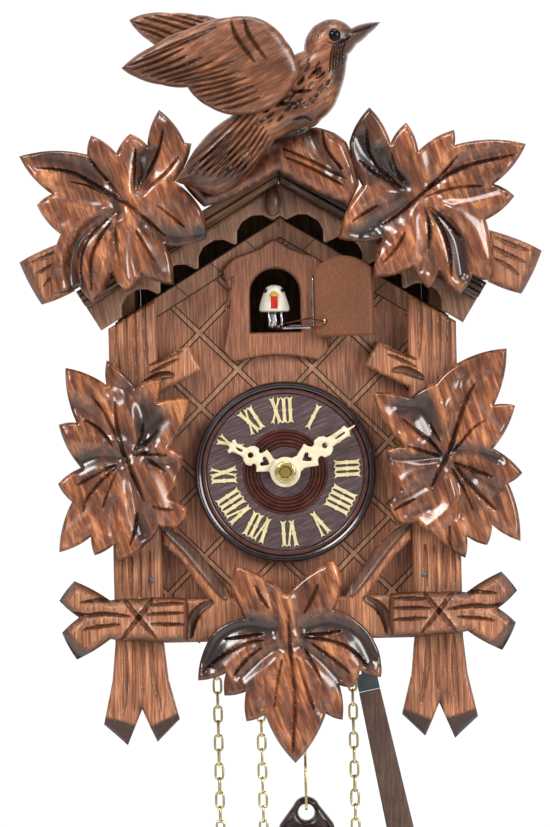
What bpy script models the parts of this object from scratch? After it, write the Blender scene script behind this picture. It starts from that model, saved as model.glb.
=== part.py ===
"""Chain-driven cuckoo clock: a carved case that hangs on a wall, with its movement inside.

Metres, +Z up, +X to the right as one faces the clock, the front towards -Y, the wall at Y = 0.
The origin is on the back face of the hanger board, under its hole. Everything is laid out from the dial's
centre, which hangs DIAL_BELOW_HANGER under it, through the empty named dial_centre.
"""
import math

import bmesh
import bpy
from mathutils import Matrix, Vector

MM = 0.001
GAP = 0.0003                    # between pieces that touch
PIVOT_CLEARANCE = 0.0003        # around an arbor in its hole

# the case
DIAL_BELOW_HANGER = 0.056
CASE_HALF_WIDTH = 0.058
CASE_DEPTH = 0.094              # wall to the face of the front panel
CASE_BOTTOM = -0.059
BOARD = 0.006
BACK_DOOR_THICKNESS = 0.003
HANGER_BOARD_BOTTOM = 0.050
HANGER_BOARD_THICKNESS = 0.010
HANGER_HOLE_HEIGHT = 0.0800
HANGER_HOLE_RADIUS = 0.0035
ARBOR_HOLE_ROOM = 0.0015        # round the hour pipe where it passes through the panel
CHAIN_SLOT_HALF_WIDTH = 0.0040
CHAIN_SLOT_HALF_DEPTH = 0.0050
PENDULUM_SLOT_HALF_DEPTH = 0.0035
PENDULUM_SLOT_ROOM = 0.0030     # beside the leader at the end of its swing
CUTTER_REACH = 0.0020           # how far a cutter runs past the board it cuts

# the roof
ROOF_APEX = 0.1085
ROOF_SLOPE = math.radians(31.5)
ROOF_BOARD = 0.006
ROOF_EAVES = 0.0137             # how far the roof reaches past the case on each side
ROOF_OVERHANG = 0.018           # how far the mouldings reach in front of the panel
MOULDING_DEPTH = 0.008
MOULDING_FACE = 0.0058          # seen height of the moulding, square to the slope
FASCIA_FACE = 0.0158            # outer line of the roof to the tips of the fascia
FASCIA_THICKNESS = 0.003
SCALLOP_CHORD = 0.0150
SCALLOP_RISE = 0.0056
PANEL_APEX = 0.0896
PEG_LENGTH = 0.0105
PEG_RADIUS = 0.0028
ROOF_FROM_WALL = 0.0020
FASCIA_BEHIND = 0.0010          # fascia behind the mouldings
SCALLOP_BRIDGE = 0.0010         # plain edge between two scallops

# layers of carving, from the panel outwards
FRAME_THICKNESS = 0.0087
LEAF_THICKNESS = 0.0070
CROWN_THICKNESS = 0.0087
VINE_THICKNESS = 0.0060
BIRD_THICKNESS = 0.0117
WING_THICKNESS = 0.0047

# posts, feet and crossed branches
POST_HALF_WIDTH = 0.0085
POST_CENTRE = CASE_HALF_WIDTH - 0.0055
FOOT_TIP = -0.0950
FOOT_NOTCH = -0.0820
CROSS_CENTRE_HEIGHT = -0.0495
CROSS_HALF_HEIGHT = 0.0075
POST_BELOW_FASCIA = 0.0010
RAIL_ABOVE_CROSS = 0.0055
RAIL_BELOW_CROSS = 0.0095
FOOT_FLARE = 0.0013
FOOT_FLARE_HEIGHT = -0.0720
FOOT_INNER_CORNER = (-0.0134, -0.0860)
FOOT_INNER_TIP = -0.0054
FOOT_TIP_STEP = 0.0010           # how much higher the inner tip ends
FOOT_NOTCH_OFFSET = -0.0004
FOOT_OUTER_TIP = 0.0051
FOOT_OUTER_CORNER = (0.0132, -0.0873)
# in mm from the post's inner edge: the stub of a branch, and the two edges of the curved stem
BRANCH_STUB = [(0.0, 39.9), (-10.7, 45.4), (-15.3, 36.6), (0.0, 28.7)]
STEM_LOWER_EDGE = [(-6.0, -30.0), (0.0, -24.5)]
STEM_UPPER_EDGE = [(0.0, -15.0), (-11.0, -25.0), (-20.0, -38.0)]
STEM_FOOT = (-0.0160, -0.0240)
# in mm from the post's centre line and the lower edge, the middle and the upper edge of the branch
CROSS_LOWER_EDGE = [(-17.0, -1.2), (0.0, -0.8), (10.0, 0.0), (22.0, -7.0)]
CROSS_STUMPS = [(27.0, -5.0), (20.8, 0.3), (27.7, 6.2)]
CROSS_UPPER_EDGE = [(22.3, 5.5), (10.0, -1.5), (0.0, -1.2), (-17.0, -1.5)]

# where the leaves' middles lie: beside the posts, below the dial, and in from the eaves
LEFT_SIDE_LEAF_PLACE = (-0.0032, 0.0053)
RIGHT_SIDE_LEAF_PLACE = (0.0054, 0.0054)
BOTTOM_LEAF_PLACE = (-0.0006, -0.0573)
UPPER_LEFT_LEAF_PLACE = (0.0189, 0.0949)
UPPER_RIGHT_LEAF_PLACE = (-0.0235, 0.0945)
VINE_FROM_EAVES = 0.0005
VINE_STUB = [(0.0, 65.0), (11.5, 60.5), (19.0, 75.3), (0.0, 83.0)]

# dial and hands
DIAL_RADIUS = 0.032
DIAL_THICKNESS = 0.0057
MINUTE_HAND_LENGTH = 0.0294
MINUTE_HAND_ANGLE = math.radians(57.3)
HOUR_HAND_LENGTH = 0.0224
HOUR_HAND_ANGLE = math.radians(-63.0)
HAND_THICKNESS = 0.0010
MINUTE_HAND_BOSS = 0.0055
HOUR_HAND_BOSS = 0.0050
HAND_PLAY = 0.0002              # round the arbor or the pipe
HAND_BEHIND_RIM = 0.0020
HAND_SPACING = 0.0008
NUT_THICKNESS = 0.0014
DIAL_RIM_WIDTH = 0.0030
DIAL_FIELD_DEPTH = 0.0012
HOUR_WHEEL_RADIUS = 0.0110
ARBOR_PAST_NUT = 0.0010
CENTRE_ARBOR_RADIUS = 0.0019
HOUR_PIPE_RADIUS = 0.0029
NUT_RADIUS = 0.0037

# doorway, door and cuckoo
DOORWAY_X = -0.0023
DOORWAY_WIDTH = 0.0178
DOORWAY_BOTTOM = 0.0492
DOORWAY_TOP = 0.0717
SURROUND_THICKNESS = 0.003
DOOR_THICKNESS = 0.0025
DOOR_LAP = 0.0021               # how far the shut door covers the panel beside the doorway
DOOR_OPEN_ANGLE = math.radians(155.0)
HINGE_WIRE_RADIUS = 0.00045
HINGE_STANDOFF = 0.0019         # hinge axis in front of the surround
HINGE_EDGE = 0.0008             # hinge axis to the edge of the door
STAPLE_REACH = 0.0053           # hinge axis to the staple that the link wire pulls
STAPLE_HEIGHTS = (0.0518, 0.0535)
STAPLE_DEPTH = 0.0010
STAPLE_SUNK = 0.0006
STAPLE_WIRE = 0.0004
DOOR_SHOULDER_DROP = 0.0010     # from the top of the doorway to where the door's arch springs
DOOR_ARCH_RISE = 0.0036
DOOR_LAP_BELOW = 0.0020
HINGE_CLEARANCE = 0.0016        # from the door's lap to its edge
HINGE_EYES = (0.0508, 0.0683)
HINGE_TURNS = (0.0518, 0.0673)
LATCH_PIN = (-0.0147, 0.0685)   # from the middle of the doorway, and the height
LATCH_FINGER = [(0.0, 0.0), (-1.0, -5.0), (-2.0, -10.8), (-1.1, -11.6)]
LATCH_WIRE = 0.0004
LATCH_CLEARANCE = 0.0008        # between the latch and the face of the shut door
CUCKOO_HEIGHT = 0.0608
CUCKOO_SIZE = (0.0052, 0.0070, 0.0048)
CUCKOO_PIVOT_X = 0.024
CUCKOO_PIVOT_BEHIND = 0.010     # pivot rod behind the face of the panel
ARM_HEIGHT = 0.0512
ARM_WIRE = 0.0008
BRACKET_HALF_WIDTH = 0.0040
BRACKET_THICKNESS = 0.0012
BRACKET_FRONT = 0.0030          # in front of the pivot
PIVOT_ROD_RADIUS = 0.0009
PIVOT_ROD_HEIGHT = 0.0110
SLEEVE_RADIUS = 0.0022
SLEEVE_HALF_HEIGHT = 0.0016
PERCH_OFFSET = (-0.0010, 0.0010)
LINK_WIRE = 0.00035
LINK_START = (0.0, -0.0003, -0.0002)
LINK_BEND = (0.0028, -0.0010)
LINK_END = (-0.0010, -0.0060, -0.0008)

# movement
PLATE_HALF_WIDTH = 0.0395
PLATE_BOTTOM = -0.045
PLATE_TOP = 0.0475
PLATE_THICKNESS = 0.0015
FRONT_PLATE_BEHIND = 0.012      # front plate's face behind the panel's face
PLATE_SPACING = 0.0305
PILLAR_RADIUS = 0.0020
PILLAR_INSET = 0.0026            # pillar centres from the edges of the plates
WHEEL_THICKNESS = 0.0012
GREAT_WHEEL_RADIUS = 0.0213
GREAT_WHEEL_TEETH = 54
GREAT_WHEEL_HEIGHT = -0.022
CENTRE_PINION_RADIUS = 0.0038
CENTRE_WHEEL_RADIUS = 0.0202
CENTRE_WHEEL_TEETH = 60
ESCAPE_WHEEL_HEIGHT = 0.024
ESCAPE_WHEEL_RADIUS = 0.0085
ESCAPE_WHEEL_TEETH = 30
TOOTH_DEPTH = 0.0009
ARBOR_RADIUS = 0.0010
ARBOR_PAST_PLATE = 0.0005
SPROCKET_HALF_WIDTH = 0.0030
STRIKE_WHEEL_BEHIND = 0.0080    # wheels behind the back of the front plate
TIME_WHEEL_BEHIND = 0.0035
CENTRE_WHEEL_BEHIND = 0.0225
CENTRE_PINION_BEHIND = 0.0010
CENTRE_PINION_LENGTH = 0.0040
ESCAPE_WHEEL_BEHIND = 0.0050    # behind the centre wheel
FLY_FROM_GREAT_ARBOR = 0.0117
FLY_HALF_WIDTH = 0.0065
FLY_HALF_THICKNESS = 0.0004

# chains and weights
CHAIN_BEHIND = 0.028            # plane of the chains behind the panel's face
CHAIN_HALF_WIDTH = 0.0018
LEFT_CHAIN = (-0.0260, -0.0106)  # X of the weight side, X of the free side
RIGHT_CHAIN = (0.0048, 0.0223)
RIGHT_WEIGHT_TOP = -0.1166
LEFT_WEIGHT_TOP = -0.1606
FREE_CHAIN_END = -0.1360
RING_RADIUS = 0.0070
RING_WIRE = 0.0009
HOOK_LENGTH = 0.0190
HOOK_WIRE = 0.0005
WEIGHT_RADIUS = 0.0145
WEIGHT_LENGTH = 0.0980
WEIGHT_LOOP_RADIUS = 0.0050
WEIGHT_LOOP_HOLE = 0.0028
WEIGHT_LOOP_THICKNESS = 0.0040

# pendulum
PENDULUM_X = 0.0043
PENDULUM_PIVOT_HEIGHT = 0.042
PENDULUM_BEHIND = 0.0065        # plane of the pendulum behind the back plate
PENDULUM_SWING = math.radians(11.3)
LEADER_LENGTH = 0.1190
LEADER_HALF_WIDTH = 0.0015
LEADER_THICKNESS = 0.0008
STICK_TOP_PLATE = 0.0062
STICK_LENGTH = 0.1150
STICK_TOP_HALF_WIDTH = 0.0039
STICK_END_HALF_WIDTH = 0.0060
STICK_THICKNESS = 0.0030
BOB_FROM_PIVOT = 0.2050
BOB_THICKNESS = 0.0045
ANCHOR_THICKNESS = 0.0012
ANCHOR_BEHIND = 0.0026          # anchor's back in front of the back plate
ANCHOR_PAST_WHEEL = 0.0035
ANCHOR_PALLET_WIDTH = 0.0014
ANCHOR_DROP_SHARE = 0.62
# in mm from the pivot: the underside and the top of the anchor
ANCHOR_UNDERSIDE = [(-6.0, -5.0), (6.0, -5.0)]
ANCHOR_TOP = [(7.0, 1.0), (0.0, 3.0), (-7.0, 1.0)]

# gong, hammer and bellows
GONG_X = -0.020
GONG_HEIGHT = -0.028
GONG_FROM_WALL = 0.024
GONG_TURNS = 3
GONG_RADIUS = 0.0200
GONG_PITCH = 0.0038
GONG_WIRE = 0.0009
HAMMER_X = -0.024
HAMMER_PIVOT_HEIGHT = 0.034
HAMMER_HEAD_RADIUS = 0.0025
BELLOWS_DEPTH = 0.0220
BELLOWS_TOP = 0.0280
BELLOWS_LID = 0.0025
BELLOWS_BEHIND = 0.016
PIPE_MOUTH = 0.006

# colours as (red, green, blue, roughness, metallic)
PANEL_WOOD = (0.25, 0.10, 0.05, 0.45, 0.0)
CARVED_WOOD = (0.36, 0.12, 0.045, 0.35, 0.0)
DARK_WOOD = (0.05, 0.02, 0.013, 0.35, 0.0)
PLAIN_WOOD = (0.40, 0.25, 0.13, 0.6, 0.0)
STICK_WOOD = (0.14, 0.08, 0.055, 0.6, 0.0)
DIAL_WOOD = (0.075, 0.037, 0.037, 0.5, 0.0)
IVORY = (0.87, 0.75, 0.50, 0.4, 0.0)
WHITE = (0.85, 0.85, 0.82, 0.4, 0.0)
BRASS = (0.60, 0.45, 0.12, 0.3, 1.0)
STEEL = (0.30, 0.33, 0.36, 0.35, 1.0)
CAST_IRON = (0.03, 0.022, 0.018, 0.5, 0.6)

# planes worked out from the sizes above
FRONT = -CASE_DEPTH
ROOF_HALF_SPAN = CASE_HALF_WIDTH + ROOF_EAVES
FRAME_BACK = FRONT - GAP
LEAF_BACK = FRAME_BACK - FRAME_THICKNESS - GAP
ROOF_FRONT = FRONT - ROOF_OVERHANG
CROWN_BACK = ROOF_FRONT - GAP
BIRD_BACK = CROWN_BACK - CROWN_THICKNESS - GAP
WING_BACK = BIRD_BACK - BIRD_THICKNESS - GAP
SURROUND_FRONT = FRONT - GAP - SURROUND_THICKNESS
HINGE_Y = SURROUND_FRONT - HINGE_STANDOFF
HINGE_X = DOORWAY_X + DOORWAY_WIDTH / 2 + DOOR_LAP + HINGE_EDGE + HINGE_CLEARANCE
CHAIN_Y = FRONT + CHAIN_BEHIND
FRONT_PLATE_Y = FRONT + FRONT_PLATE_BEHIND
BACK_PLATE_Y = FRONT_PLATE_Y + PLATE_THICKNESS + PLATE_SPACING
PENDULUM_Y = BACK_PLATE_Y + PLATE_THICKNESS + PENDULUM_BEHIND
CUCKOO_PIVOT_Y = FRONT + CUCKOO_PIVOT_BEHIND
BELLOWS_FRONT = FRONT + BELLOWS_BEHIND
DIAL_FRONT = FRONT - GAP - DIAL_THICKNESS

# carved outlines in millimetres, tips and notches in turn, from the middle of each leaf
UPPER_LEFT_LEAF = [
    (-37.3, 17.1), (-13.7, 17.2), (-12.1, 23.8), (-3.5, 17.4), (1.4, 24.1), (7.3, 19.9),
    (11.7, 32.2), (20.4, 20.6), (22.7, 20.2), (16.4, 7.1), (25.8, -3.3), (27.0, -12.9),
    (13.1, -15.0), (15.2, -28.6), (4.5, -24.8), (-1.2, -30.7), (-6.1, -24.4), (-12.7, -34.2),
    (-17.3, -28.6), (-27.2, -31.2), (-23.5, -10.3), (-31.5, 0.0), (-26.2, 3.7),
]
UPPER_RIGHT_LEAF = [
    (38.0, 17.8), (13.1, 18.0), (13.0, 23.3), (0.5, 16.2), (-3.5, 26.2), (-9.1, 19.2),
    (-16.2, 31.8), (-23.4, 19.9), (-19.2, 4.7), (-27.9, -13.4), (-12.9, -14.1), (-15.8, -27.4),
    (-2.1, -23.9), (2.8, -31.6), (7.0, -25.8), (13.6, -34.0), (18.3, -27.4), (24.4, -29.3),
    (23.4, -8.2), (33.5, -0.2), (26.5, 4.2),
]
LEFT_SIDE_LEAF = [
    (-20.4, 32.9), (-6.2, 26.6), (-5.9, 35.3), (3.8, 25.5), (13.1, 29.1), (11.4, 20.4),
    (23.0, 20.9), (15.4, 4.2), (19.9, 1.4), (15.2, -13.1), (21.2, -17.4), (18.3, -23.5),
    (11.1, -23.4), (6.2, -29.6), (-3.3, -35.2), (-4.2, -28.7), (-11.6, -32.9), (-12.8, -26.3),
    (-24.0, -31.5), (-19.2, -14.0), (-23.9, -7.6), (-15.9, -2.1), (-23.2, 13.1), (-17.0, 13.7),
]
RIGHT_SIDE_LEAF = [
    (20.4, 36.1), (3.2, 31.4), (-5.0, 24.6), (-13.6, 19.6), (-27.0, 21.8), (-16.6, 2.7),
    (-22.7, 1.6), (-17.4, -12.7), (-22.7, -17.0), (-19.3, -23.9), (-12.1, -23.9), (-6.8, -28.2),
    (4.3, -36.8), (5.0, -29.3), (12.0, -32.5), (13.9, -25.4), (23.7, -31.3), (20.0, -11.1),
    (24.9, -7.5), (14.9, 1.3), (22.9, 16.1), (15.6, 16.6),
]
BOTTOM_LEAF = [
    (-17.6, 25.1), (-0.1, 14.7), (16.9, 26.3), (19.4, 18.8), (16.6, 9.1), (25.6, 3.8),
    (30.6, -3.1), (32.5, -10.6), (32.3, -15.1), (25.0, -12.6), (22.6, -18.4), (17.8, -17.6),
    (18.6, -29.7), (12.8, -27.4), (1.8, -44.4), (-8.4, -27.2), (-15.0, -29.5), (-15.0, -19.1),
    (-22.5, -20.3), (-21.9, -12.5), (-31.6, -14.8), (-28.5, -2.5), (-24.4, 3.1), (-15.0, 6.6),
    (-16.3, 10.0), (-19.1, 17.5),
]
DOOR_SURROUND_RIGHT = [
    (0.0, 41.0), (10.0, 39.8), (14.8, 38.7), (18.8, 42.7), (18.0, 46.4), (16.0, 60.0),
    (18.3, 71.3), (15.2, 75.2), (0.0, 82.0),
]
CROWN_BRANCH = [
    (22.2, 93.6), (23.9, 92.2), (27.1, 98.0), (27.9, 99.6), (23.8, 114.3), (20.0, 117.5),
    (13.4, 119.8), (5.0, 118.5), (-6.0, 115.0), (-24.0, 107.0), (-33.5, 101.3), (-26.3, 93.0),
]
SONGBIRD_BODY = [
    (9.6, 145.9), (10.3, 150.1), (13.1, 154.3), (17.9, 156.6), (21.6, 156.5), (24.6, 155.0),
    (26.3, 153.4), (30.0, 154.8), (36.3, 155.3), (32.3, 151.5), (28.0, 148.0), (24.9, 144.4),
    (24.3, 141.4), (22.2, 132.4), (21.0, 129.4), (19.1, 125.8), (15.4, 122.3), (12.9, 119.9),
    (5.0, 118.3), (-1.1, 115.4), (-6.0, 109.5), (-12.2, 101.8), (-14.7, 99.5), (-22.0, 96.6),
    (-31.5, 100.4), (-35.8, 101.7), (-32.6, 106.5), (-25.1, 117.2), (-16.6, 123.6),
    (-8.0, 131.0), (0.0, 141.0), (5.0, 144.0),
]
SONGBIRD_NEAR_WING = [
    (-53.4, 140.7), (-42.5, 148.0), (-30.3, 153.5), (-15.8, 157.4), (-11.0, 157.6),
    (-6.1, 156.9), (-0.2, 153.4), (3.3, 149.1), (6.2, 144.2), (8.0, 138.0), (4.0, 131.0),
    (-4.0, 125.0), (-16.6, 123.9), (-23.7, 126.8), (-27.9, 129.9), (-30.8, 133.6),
    (-39.8, 134.7), (-48.8, 137.6),
]
SONGBIRD_FAR_WING = [
    (-50.8, 158.5), (-45.3, 160.5), (-36.2, 160.5), (-27.2, 159.7), (-20.6, 158.4),
    (-15.2, 157.4), (-6.0, 154.0), (-4.0, 146.0), (-20.0, 146.0), (-40.7, 148.9),
    (-44.3, 151.4), (-48.4, 155.1),
]
BOB_LEAF = [
    (0.0, 17.0), (5.0, 11.0), (13.0, 13.5), (12.0, 4.5), (20.0, 0.5), (12.5, -5.0),
    (13.0, -14.0), (5.5, -11.5), (0.0, -23.0), (-5.5, -11.5), (-13.0, -14.0), (-12.5, -5.0),
    (-20.0, 0.5), (-12.0, 4.5), (-13.0, 13.5), (-5.0, 11.0),
]


def clear_scene():
    for old in list(bpy.data.objects):
        bpy.data.objects.remove(old, do_unlink=True)


def new_collection(name):
    made = bpy.data.collections.new(name)
    bpy.context.scene.collection.children.link(made)
    return made


def empty(name, location, parent=None):
    """A frame that pieces hang on; the pieces keep their places measured from the dial's centre."""
    made = bpy.data.objects.new(name, None)
    made.empty_display_size = 0.01
    made.location = location
    PARTS.objects.link(made)
    if parent:
        made.parent = parent
    return made


def hang_on(piece, frame):
    """Parent a piece to a joint's frame without shifting it by the frame's own location."""
    piece.parent = frame
    if frame != DIAL_CENTRE:
        piece.matrix_parent_inverse = Matrix.Translation(frame.location).inverted()
    return piece


def finish(piece, look):
    """Give a piece its own material."""
    red, green, blue, roughness, metallic = look
    material = bpy.data.materials.new(piece.name + "_finish")
    material.use_nodes = True
    shader = material.node_tree.nodes["Principled BSDF"]
    shader.inputs["Base Color"].default_value = (red, green, blue, 1.0)
    shader.inputs["Roughness"].default_value = roughness
    shader.inputs["Metallic"].default_value = metallic
    material.diffuse_color = (red, green, blue, 1.0)
    piece.data.materials.clear()
    piece.data.materials.append(material)


def add(name, data, location, look, frame=None):
    piece = bpy.data.objects.new(name, data)
    piece.location = location
    PARTS.objects.link(piece)
    hang_on(piece, frame or DIAL_CENTRE)
    finish(piece, look)
    return piece


def mm(points):
    return [(x * MM, z * MM) for x, z in points]


def shifted(points, x, z):
    return [(px + x, pz + z) for px, pz in points]


def mirrored(points, middle=0.0):
    """The same outline on the other side, still counter-clockwise or clockwise as a closed loop."""
    return [(2 * middle - x, z) for x, z in reversed(points)]


def arc(x, z, radius, start, end, count):
    """Points on a round stretch, from one angle to the other, both included."""
    steps = [start + (end - start) * i / (count - 1) for i in range(count)]
    return [(x + radius * math.cos(a), z + radius * math.sin(a)) for a in steps]


def circle(x, z, radius, count=16):
    return arc(x, z, radius, 0.0, 2 * math.pi * (count - 1) / count, count)


def plate(name, outline, back, thickness, look, holes=(), frame=None):
    """A flat board seen from the front: outline in X and Z, its back face at Y = back."""
    middle_x = sum(x for x, _ in outline) / len(outline)
    middle_z = sum(z for _, z in outline) / len(outline)
    curve = bpy.data.curves.new(name, "CURVE")
    curve.dimensions = "2D"
    curve.fill_mode = "BOTH"
    curve.extrude = thickness / 2
    for loop in (outline, *holes):
        spline = curve.splines.new("POLY")
        spline.points.add(len(loop) - 1)
        for point, (x, z) in zip(spline.points, loop):
            point.co = (x - middle_x, z - middle_z, 0.0, 1.0)
        spline.use_cyclic_u = True
    piece = add(name, curve, (middle_x, back - thickness / 2, middle_z), look, frame)
    piece.rotation_euler = (math.radians(90.0), 0.0, 0.0)
    return piece


def box(name, low, high, look, frame=None):
    """A board between two corners."""
    shape = bmesh.new()
    bmesh.ops.create_cube(shape, size=1.0)
    size = Vector(high) - Vector(low)
    bmesh.ops.scale(shape, vec=size, verts=shape.verts)
    mesh = bpy.data.meshes.new(name)
    shape.to_mesh(mesh)
    shape.free()
    return add(name, mesh, (Vector(high) + Vector(low)) / 2, look, frame)


def rod(name, points, radius, look, shares=None, frame=None):
    """A wire or round bar through the points; shares thin it down along the way."""
    first = Vector(points[0])
    curve = bpy.data.curves.new(name, "CURVE")
    curve.dimensions = "3D"
    curve.bevel_depth = radius
    curve.bevel_resolution = 2
    curve.use_fill_caps = True
    spline = curve.splines.new("POLY")
    spline.points.add(len(points) - 1)
    for i, (point, place) in enumerate(zip(spline.points, points)):
        point.co = (*(Vector(place) - first), 1.0)
        point.radius = shares[i] if shares else 1.0
    return add(name, curve, first, look, frame)


def cylinder(name, start, end, radius, look, sides=24, frame=None):
    """A round bar with flat ends between two points."""
    start, end = Vector(start), Vector(end)
    shape = bmesh.new()
    bmesh.ops.create_cone(
        shape, cap_ends=True, segments=sides, radius1=radius, radius2=radius,
        depth=(end - start).length,
    )
    turn = (end - start).to_track_quat("Z", "Y").to_matrix().to_4x4()
    bmesh.ops.transform(shape, matrix=turn, verts=shape.verts)
    mesh = bpy.data.meshes.new(name)
    shape.to_mesh(mesh)
    shape.free()
    return add(name, mesh, (start + end) / 2, look, frame)


def turned(name, profile, centre, look, steps=32, towards_front=False, frame=None, hollow=False):
    """A turned piece: profile as (radius, height), down its outer side; closed on itself if hollow."""
    mesh = bpy.data.meshes.new(name)
    corners = [(radius, 0.0, height) for radius, height in profile]
    edges = [(i, i + 1) for i in range(len(corners) - 1)]
    if hollow:
        edges.append((len(corners) - 1, 0))
    mesh.from_pydata(corners, edges, [])
    piece = add(name, mesh, centre, look, frame)
    screw = piece.modifiers.new("turn", "SCREW")
    screw.steps = steps
    screw.render_steps = steps
    screw.use_merge_vertices = True
    screw.merge_threshold = 0.00001
    if towards_front:
        piece.rotation_euler = (math.radians(90.0), 0.0, 0.0)
    return piece


def as_mesh(piece):
    """Turn a curve piece into a welded mesh, so that it can be cut and joined."""
    bpy.context.view_layer.update()
    evaluated = piece.evaluated_get(bpy.context.evaluated_depsgraph_get())
    mesh = bpy.data.meshes.new_from_object(evaluated)
    shape = bmesh.new()
    shape.from_mesh(mesh)
    bmesh.ops.remove_doubles(shape, verts=shape.verts, dist=0.000001)
    shape.to_mesh(mesh)
    shape.free()
    name, frame = piece.name, piece.parent
    made = bpy.data.objects.new(name + "_solid", mesh)
    PARTS.objects.link(made)
    made.parent = frame
    made.matrix_parent_inverse = piece.matrix_parent_inverse.copy()
    made.location = piece.location
    made.rotation_euler = piece.rotation_euler
    bpy.data.objects.remove(piece, do_unlink=True)
    made.name = name
    return made


def apply_boolean(piece, tool, operation):
    """Cut a piece with a tool, or join the tool to it; the tool goes to the cutters."""
    if tool.type == "CURVE":
        tool = as_mesh(tool)
    change = piece.modifiers.new(operation.lower(), "BOOLEAN")
    change.operation = operation
    change.object = tool
    PARTS.objects.unlink(tool)
    CUTTERS.objects.link(tool)
    tool.hide_render = True
    tool.display_type = "WIRE"
    return piece


def cut(piece, *tools):
    for tool in tools:
        apply_boolean(piece, tool, "DIFFERENCE")
    return piece


def join(piece, *others):
    for other in others:
        apply_boolean(piece, other, "UNION")
    return piece


def roof_line(x, depth=0.0):
    """Height of the roof's outer line at x, or of a line the given depth square under it."""
    return ROOF_APEX - abs(x) * math.tan(ROOF_SLOPE) - depth / math.cos(ROOF_SLOPE)


def roof_end(depth):
    """Where the roof's end, cut square to its slope, has the given depth."""
    end = roof_line(ROOF_HALF_SPAN)
    return (ROOF_HALF_SPAN - depth * math.sin(ROOF_SLOPE), end - depth * math.cos(ROOF_SLOPE))


def roof_strip(side, top, bottom):
    """Outline of one side of the roof between two depths, mitred at the ridge."""
    ridge = GAP / 2
    points = [
        (ridge, roof_line(ridge, bottom)), roof_end(bottom), roof_end(top),
        (ridge, roof_line(ridge, top)),
    ]
    return points if side > 0 else mirrored(points)


def panel_line(x):
    return PANEL_APEX - abs(x) * math.tan(ROOF_SLOPE)


def doorway_outline():
    half = DOORWAY_WIDTH / 2
    spring = DOORWAY_TOP - half
    return [
        (DOORWAY_X - half, DOORWAY_BOTTOM), (DOORWAY_X + half, DOORWAY_BOTTOM),
        *arc(DOORWAY_X, spring, half, 0.0, math.pi, 13),
    ]


def make_case():
    inner = CASE_HALF_WIDTH - BOARD
    width = CASE_HALF_WIDTH
    panel = [
        (-width, CASE_BOTTOM), (width, CASE_BOTTOM), (width, panel_line(width)),
        (0.0, PANEL_APEX), (-width, panel_line(width)),
    ]
    arbor_hole = circle(0.0, 0.0, HOUR_PIPE_RADIUS + ARBOR_HOLE_ROOM)
    plate("front_panel", panel, FRONT + BOARD, BOARD, PANEL_WOOD,
          holes=(doorway_outline(), arbor_hole))

    for side, name in ((-1, "left_side_wall"), (1, "right_side_wall")):
        wall = [
            (inner, CASE_BOTTOM), (width, CASE_BOTTOM),
            (width, roof_line(width, ROOF_BOARD) - GAP), (inner, roof_line(inner, ROOF_BOARD) - GAP),
        ]
        depth = CASE_DEPTH - BOARD - GAP
        plate(name, wall if side > 0 else mirrored(wall), 0.0, depth, PLAIN_WOOD)

    fit = inner - GAP
    bottom = box(
        "bottom_board", (-fit, FRONT + BOARD + GAP, CASE_BOTTOM),
        (fit, -BACK_DOOR_THICKNESS - 3 * GAP, CASE_BOTTOM + BOARD), PLAIN_WOOD,
    )
    slot_low, slot_high = CASE_BOTTOM - CUTTER_REACH, CASE_BOTTOM + BOARD + CUTTER_REACH
    for number, x in enumerate((*LEFT_CHAIN, *RIGHT_CHAIN)):
        slot = box(
            f"chain_slot_{number}",
            (x - CHAIN_SLOT_HALF_WIDTH, CHAIN_Y - CHAIN_SLOT_HALF_DEPTH, slot_low),
            (x + CHAIN_SLOT_HALF_WIDTH, CHAIN_Y + CHAIN_SLOT_HALF_DEPTH, slot_high), PLAIN_WOOD,
        )
        cut(bottom, slot)
    drop = PENDULUM_PIVOT_HEIGHT - CASE_BOTTOM
    sweep = drop * math.tan(PENDULUM_SWING) + LEADER_HALF_WIDTH + PENDULUM_SLOT_ROOM
    slot = box(
        "pendulum_slot",
        (PENDULUM_X - sweep, PENDULUM_Y - PENDULUM_SLOT_HALF_DEPTH, slot_low),
        (PENDULUM_X + sweep, PENDULUM_Y + PENDULUM_SLOT_HALF_DEPTH, slot_high), PLAIN_WOOD,
    )
    cut(bottom, slot)

    gable = [
        (-fit, HANGER_BOARD_BOTTOM), (fit, HANGER_BOARD_BOTTOM),
        (fit, roof_line(fit, ROOF_BOARD) - GAP), (0.0, roof_line(0.0, ROOF_BOARD) - GAP),
        (-fit, roof_line(fit, ROOF_BOARD) - GAP),
    ]
    plate("hanger_board", gable, 0.0, HANGER_BOARD_THICKNESS, PLAIN_WOOD,
          holes=(circle(0.0, HANGER_HOLE_HEIGHT, HANGER_HOLE_RADIUS),))

    hinge = empty("back_door_hinge", (-fit, -GAP, 0.0), DIAL_CENTRE)
    box("back_door", (-fit + GAP, -BACK_DOOR_THICKNESS - 2 * GAP, CASE_BOTTOM),
        (fit, -2 * GAP, HANGER_BOARD_BOTTOM - GAP), PLAIN_WOOD, hinge)


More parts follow.
